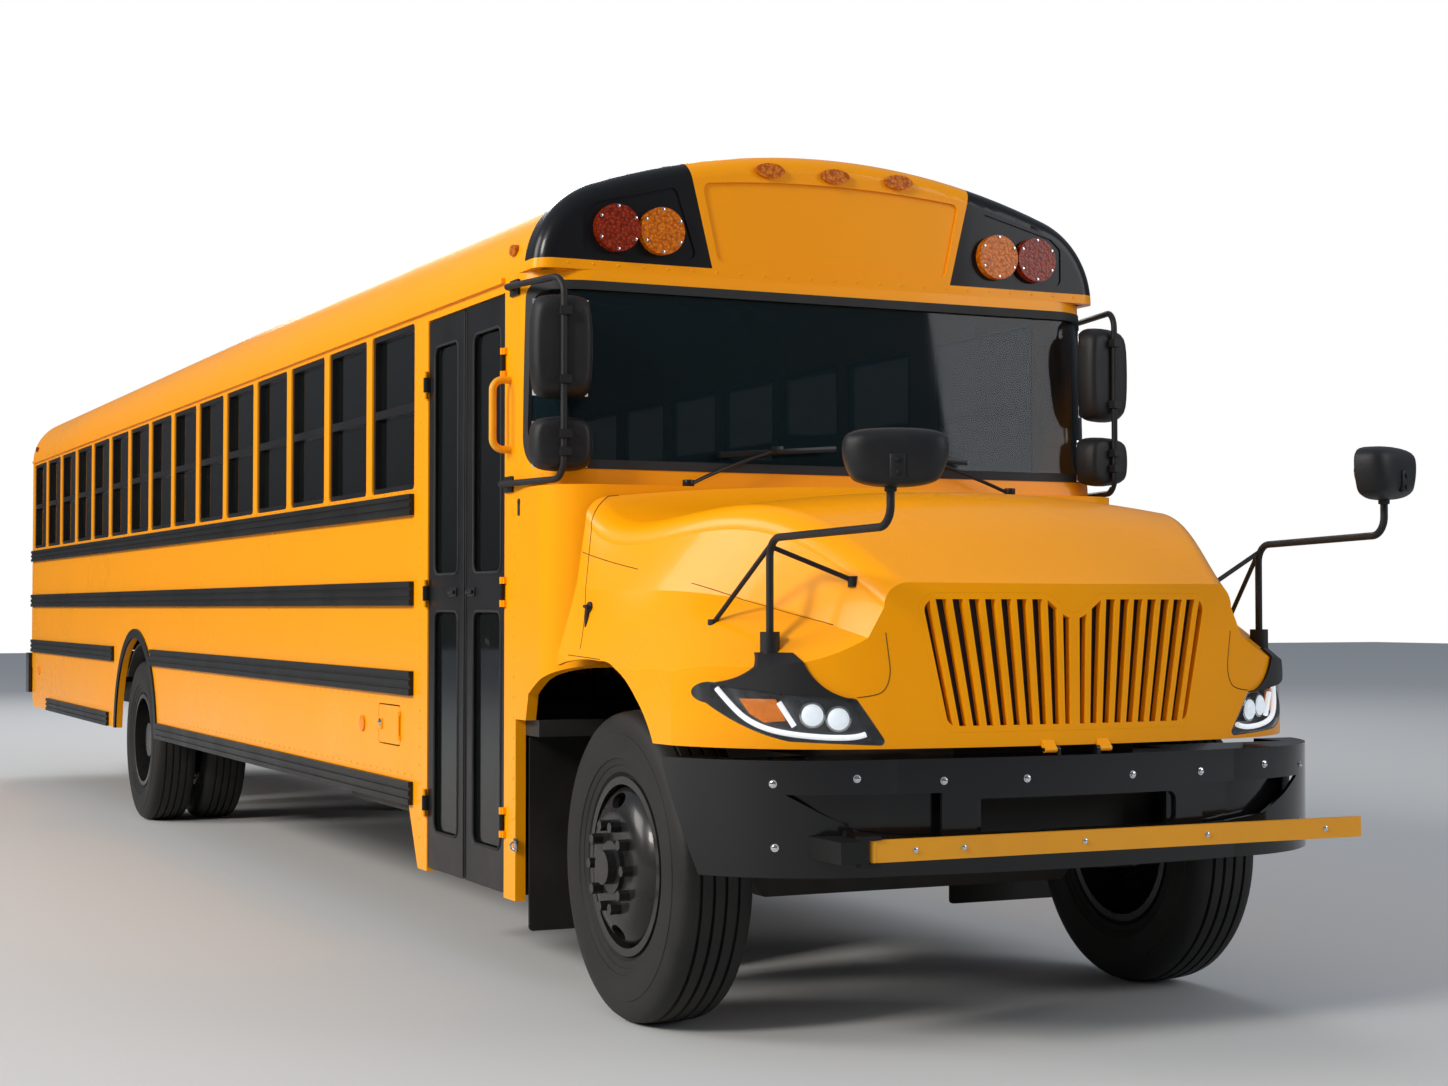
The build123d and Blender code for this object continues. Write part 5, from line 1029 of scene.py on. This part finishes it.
# Mirrors: glass in the housings beside the windshield, domed glass in the cross-view mirrors
mirrors = {
    "width": 0.203, "thick": 0.004, "lift": 0.0005,
    # middle height and height of each glass, and the depth of its housing
    "plates": ((2.338, 0.350, 0.088), (1.989, 0.166, 0.098)),
    "eyeBack": 0.044, "eyeSize": (0.135, 0.016, 0.066),
}


def makeMirrorGlass():
    _, behind = shellWays(1, shells["poleTurn"], 1)
    turn = (0, 0, radians(shells["poleTurn"]))
    plates = []
    for height, size, depth in mirrors["plates"]:
        middle = Vector((*shells["pole"], height)) + behind * (depth + mirrors["lift"])
        plates.append(block(middle, (mirrors["width"], mirrors["thick"], size), 0.0015, turn))
    _, ahead = shellWays(1, shells["eyeTurn"], -1)
    spot = Vector(shells["eye"]) - ahead * mirrors["eyeBack"]
    eye = ball(1.0, 48, 24, mirrors["eyeSize"], spot, (0, 0, radians(shells["eyeTurn"])))
    return joinPieces(plates), eye


plates, eyes = makeMirrorGlass()
bothSides(plates, "mirrorGlass", "mirrorFace", "body")
bothSides(eyes, "crossViewGlass", "mirrorFace", "hood", 60)
print("mirror glass made")

# Entrance door: edge rubbers, pull handles and beads round the panes of each leaf
door = {
    "outer": -1.215, "low": 0.345, "high": 2.570,
    # each leaf's body, and the y of its rubber, its handle and the middle of its panes, and their half width
    "leaves": (("door_front", -4.3035, -4.372, -4.550, 0.160), ("door_rear", -4.2815, -4.150, -4.055, 0.150)),
    "paneHeights": ((0.489, 1.388), (1.536, 2.468)),
    "handleHeight": 1.463, "beadCorner": 0.04, "beadRadius": 0.006,
    "rubber": (0.012, 0.008), "base": (0.008, 0.085, 0.036), "grip": (0.012, 0.070, 0.016),
}


def frameBead(y, half, low, high, x):
    # A rounded bead round a pane of the door.
    inset = door["beadCorner"]
    points = []
    for cy, cz, start in (
        (y + half - inset, high - inset, 0), (y - half + inset, high - inset, 90),
        (y - half + inset, low + inset, 180), (y + half - inset, low + inset, 270),
    ):
        for step in range(0, 91, 30):
            angle = radians(start + step)
            points.append((x, cy + inset * cos(angle), cz + inset * sin(angle)))
    return asRod(lineThrough(points, "bead", cyclic=True), door["beadRadius"], 2)


for body, rubberY, handleY, paneY, half in door["leaves"]:
    label = body.split("_")[1].title()
    outer, middle = door["outer"], (door["low"] + door["high"]) / 2
    rubber = block((outer + 0.002, rubberY, middle), (*door["rubber"], door["high"] - door["low"]), 0.003)
    beads = [frameBead(paneY, half, low, high, outer + 0.001) for low, high in door["paneHeights"]]
    settle(joinPieces([rubber] + beads), "doorRubbers" + label, "sealRubber", body)
    base = block((outer - 0.002, handleY, door["handleHeight"]), door["base"], 0.003)
    grip = block((outer - 0.012, handleY, door["handleHeight"]), door["grip"], 0.005)
    settle(joinPieces([base, grip]), "doorPull" + label, "mouldedBlack", body)
print("door fittings made")

# Small things on the side: reflectors, fuel latch, lock and grab hook beside the door
fittings = {
    "reflectors": ((-2.893, 0.884), (6.60, 0.884)), "reflectorX": 1.2205, "reflectorRadius": 0.036,
    "reflectorDepth": 0.007,
    "fuelLatch": (-1.225, -3.177, 0.902), "latchRadius": 0.017, "latchGrip": (0.006, 0.026, 0.008),
    "lock": (-1.219, -4.916, 1.780), "lockRadius": 0.012, "lockPlate": (0.006, 0.018, 0.046),
    "hook": (-1.216, -4.885, 0.527), "hookRadius": 0.004, "hookPlate": (0.008, 0.030, 0.050),
    "hookBends": ((-0.004, 0.012), (-0.022, 0.010), (-0.022, -0.016), (-0.006, -0.020)),
}


def makeReflector(y, z, side):
    x, radius = side * fittings["reflectorX"], fittings["reflectorRadius"]
    return rod((x, y, z), (x + side * fittings["reflectorDepth"], y, z), radius, 32, 0.002)


def standOff(spot, x, z=0.0):
    return Vector(spot) + Vector((x, 0, z))


reflectors = [makeReflector(y, z, side) for y, z in fittings["reflectors"] for side in (-1, 1)]
# The side reflectors take the marker lens finish, whose faint glow on them is painted light: a reflector is
# no lamp
settle(joinPieces(reflectors), "sideReflectors", "markerLens", "body")
spot = fittings["fuelLatch"]
latch = joinPieces([
    rod(standOff(spot, 0.004), standOff(spot, -0.003), fittings["latchRadius"], 24, 0.002),
    block(standOff(spot, -0.005), fittings["latchGrip"], 0.002),
])
settle(latch, "fuelLatch", "brightTrim", "fuel_flap")
spot = fittings["lock"]
lock = joinPieces([
    rod(standOff(spot, 0.003, 0.012), standOff(spot, -0.004, 0.012), fittings["lockRadius"], 24, 0.002),
    block(standOff(spot, -0.001, -0.016), fittings["lockPlate"], 0.002),
])
settle(lock, "cowlLock", "sealRubber", "body")
spot = fittings["hook"]
bends = [standOff(spot, *bend) for bend in fittings["hookBends"]]
hook = joinPieces([
    block(standOff(spot, -0.003), fittings["hookPlate"], 0.003),
    bendRod(bends, fittings["hookRadius"], "hookRod", 6),
])
settle(hook, "stepHook", "brightTrim", "body")
print("side fittings made")

# Seats: two pads on a tube frame, none over the rear wheels, and a taller one for the driver
seats = {
    "rows": 14, "pitch": 0.711, "firstY": -3.0411, "archY": 2.595, "archReach": 0.640, "x": 0.687,
    "width": 0.94, "floor": 0.990,
    # middle y from the row, middle z, depth, height, lean in degrees
    "cushion": (-0.215, 1.352, 0.350, 0.080, 0.0),
    "back": (0.022, 1.765, 0.075, 0.700, 6.9),
    "corner": 0.028,
    "legY": (-0.33, -0.02), "legRadius": 0.014, "legInset": 0.060, "legTop": 1.330,
    "rail": (-0.36, 0.02, 1.318),
    # x, y, width and how much taller
    "driver": (0.620, -3.885, 0.490, 0.060), "tallerLean": 0.06,
}


def pad(centre, size, lean):
    # A full cushion with rounded edges.
    piece = block(centre, size, seats["corner"], (radians(-lean), 0, 0), 4)
    choose(piece)
    bpy.ops.object.transform_apply(location=False)
    modify(piece, "SUBSURF", levels=1, render_levels=1)
    return piece


def addSeat(pads, frames, x, y, width, taller):
    for key in ("cushion", "back"):
        along, height, depth, tall, lean = seats[key]
        grow = taller if key == "back" else 0
        centre = (x, y + along + grow * seats["tallerLean"], height + grow / 2)
        pads.append(pad(centre, (width, depth, tall + grow), lean))
    radius, low, high = seats["legRadius"], seats["floor"], seats["legTop"]
    start, end, railZ = seats["rail"]
    for side in (-1, 1):
        legX = x + side * (width / 2 - seats["legInset"])
        for legY in seats["legY"]:
            frames.append(rod((legX, y + legY, low), (legX, y + legY, high), radius, 12))
        frames.append(rod((legX, y + start, railZ), (legX, y + end, railZ), radius, 12))


def makeSeats():
    pads, frames = [], []
    addSeat(pads, frames, *seats["driver"])
    for index in range(seats["rows"]):
        y = seats["firstY"] + seats["pitch"] * index
        if abs(y - seats["archY"]) > seats["archReach"]:
            for side in (-1, 1):
                addSeat(pads, frames, side * seats["x"], y, seats["width"], 0.0)
    return joinPieces(pads), joinPieces(frames)


seatPads, seatFrames = makeSeats()
seatPads = settle(seatPads, "seatPads", "seatVinyl", "body", 40)
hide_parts("seats")
settle(seatFrames, "seatFrames", "chassisBlack", "body")
print("seats made")

# Stop sign: a red face on both sides of the white board, which shows round it
sign = {"border": 0.018, "thick": 0.0012}


def makeSignFaces():
    board = nodes["stop_sign"]
    corners = [board.matrix_world @ Vector(corner) for corner in board.bound_box]
    low = [min(corner[axis] for corner in corners) for axis in range(3)]
    high = [max(corner[axis] for corner in corners) for axis in range(3)]
    radius = (high[2] - low[2]) / 2 / cos(pi / 8) - sign["border"]
    faces = []
    for x in (low[0], high[0]):
        centre = (x, high[1] - (high[2] - low[2]) / 2, (low[2] + high[2]) / 2)
        clearChoice()
        bpy.ops.mesh.primitive_cylinder_add(
            vertices=8, radius=radius, depth=sign["thick"], location=centre, rotation=(0, radians(90), 0),
        )
        bpy.ops.object.transform_apply()
        bpy.ops.transform.rotate(value=radians(22.5), orient_axis="X", center_override=centre)
        faces.append(bpy.context.object)
    return joinPieces(faces)


settle(makeSignFaces(), "signFaces", "signRed", "stop_board", 0)
print("sign faces made")

# Rivets: rows of small domes along the seams
rivets = {
    "radius": 0.0055, "x": 1.2195,
    # first y and z, step along y and z, count: skirt, lower seam, waist, drip rail, door post, rear post
    "rows": (
        (-3.62, 0.700, 0.1015, 0, 48), (3.45, 0.700, 0.1015, 0, 28),
        (-3.08, 1.010, 0.1015, 0, 47), (3.35, 1.010, 0.1015, 0, 35),
        (-3.62, 1.895, 0.1015, 0, 104), (-3.62, 2.628, 0.0711, 0, 148),
        (-4.862, 0.62, 0, 0.075, 16), (-3.722, 0.45, 0, 0.075, 26),
    ),
    "cap": {"node": "front_cap", "y": -5.10, "z": 2.662, "from": -1.10, "step": 0.1, "count": 23},
}


def makeRivet(spot, turn):
    piece = ball(rivets["radius"], 8, 6, (1, 1, 0.5), spot, turn)
    bpy.ops.object.transform_apply(location=False)
    return piece


def makeRivetRow(first, step, count):
    piece = makeRivet(first, (0, radians(90), 0))
    modify(
        piece, "ARRAY", count=count, use_relative_offset=False, use_constant_offset=True,
        constant_offset_displace=step,
    )
    return piece


rows = []
for y, z, stepY, stepZ, count in rivets["rows"]:
    for side in (-1, 1):
        rows.append(makeRivetRow((side * rivets["x"], y, z), (0, stepY, stepZ), count))
cap = rivets["cap"]
for index in range(cap["count"]):
    spot, _ = spotOn(cap["node"], (cap["from"] + index * cap["step"], cap["y"], cap["z"]))
    rows.append(makeRivet(spot, (radians(90), 0, 0)))
settle(joinPieces(rows), "bodyRivets", "busYellow", "body")
print("rivets made")

# Floor, backdrop and soft light
studio = {
    "floorColour": (0.55, 0.55, 0.54), "floorDark": 0.96, "floorRough": 0.85, "floorHalf": 60.0,
    "skyColour": (0.46, 0.51, 0.59), "horizonColour": (0.045, 0.045, 0.048), "skyRise": 0.8,
    "aim": (0, -1, 1),
    # name, place, size, watts, colour
    "lamps": (
        ("keyLight", (-21, -12, 13), 5.0, 4000, (1.0, 0.96, 0.90)),
        ("sideLight", (-20, 3, 11), 9.0, 2700, (1.0, 0.97, 0.93)),
        ("fillLight", (13, -17, 8), 9.0, 1000, (0.95, 0.97, 1.0)),
        ("rearLight", (6, 19, 12), 9.0, 1400, (1.0, 1.0, 1.0)),
    ),
}


def setStudio():
    clearChoice()
    bpy.ops.mesh.primitive_plane_add(size=2 * studio["floorHalf"])
    floor = bpy.context.object
    floor.name = "studioFloor"
    material, tree, shader = startFinish("studioFloor")
    noise = place(tree, "ShaderNodeTexNoise", {"Scale": 0.6, "Detail": 4.0})
    colour = studio["floorColour"]
    darker = [studio["floorDark"] * channel for channel in colour]
    shade = mixColour(tree, (*colour, 1), (*darker, 1), noise.outputs["Fac"])
    feed(tree, shader, {"Base Color": shade, "Roughness": studio["floorRough"]})
    floor.data.materials.append(material)
    world = bpy.data.worlds.new("studioWorld")
    world.use_nodes = True
    tree = world.node_tree
    path = place(tree, "ShaderNodeLightPath", {}).outputs
    seen = calc(tree, "ADD", path["Is Camera Ray"], path["Is Transmission Ray"], clamp=True)
    where = place(tree, "ShaderNodeTexCoord", {})
    split = place(tree, "ShaderNodeSeparateXYZ", {"Vector": where.outputs["Generated"]})
    height = calc(tree, "POWER", calc(tree, "MAXIMUM", split.outputs["Z"], 0.0), studio["skyRise"])
    sky = mixColour(tree, (*studio["horizonColour"], 1), (*studio["skyColour"], 1), height)
    feed(tree, tree.nodes["Background"], {"Color": mixColour(tree, sky, (1, 1, 1, 1), seen)})
    bpy.context.scene.world = world
    for name, spot, size, power, colour in studio["lamps"]:
        data = bpy.data.lights.new(name, "AREA")
        data.size = size
        data.energy = power
        data.color = colour
        light = addObject(name, data)
        light.location = spot
        light.rotation_euler = (Vector(studio["aim"]) - Vector(spot)).to_track_quat("-Z", "Y").to_euler()


setStudio()
bpy.context.scene.view_settings.view_transform = "Standard"
print("studio set")
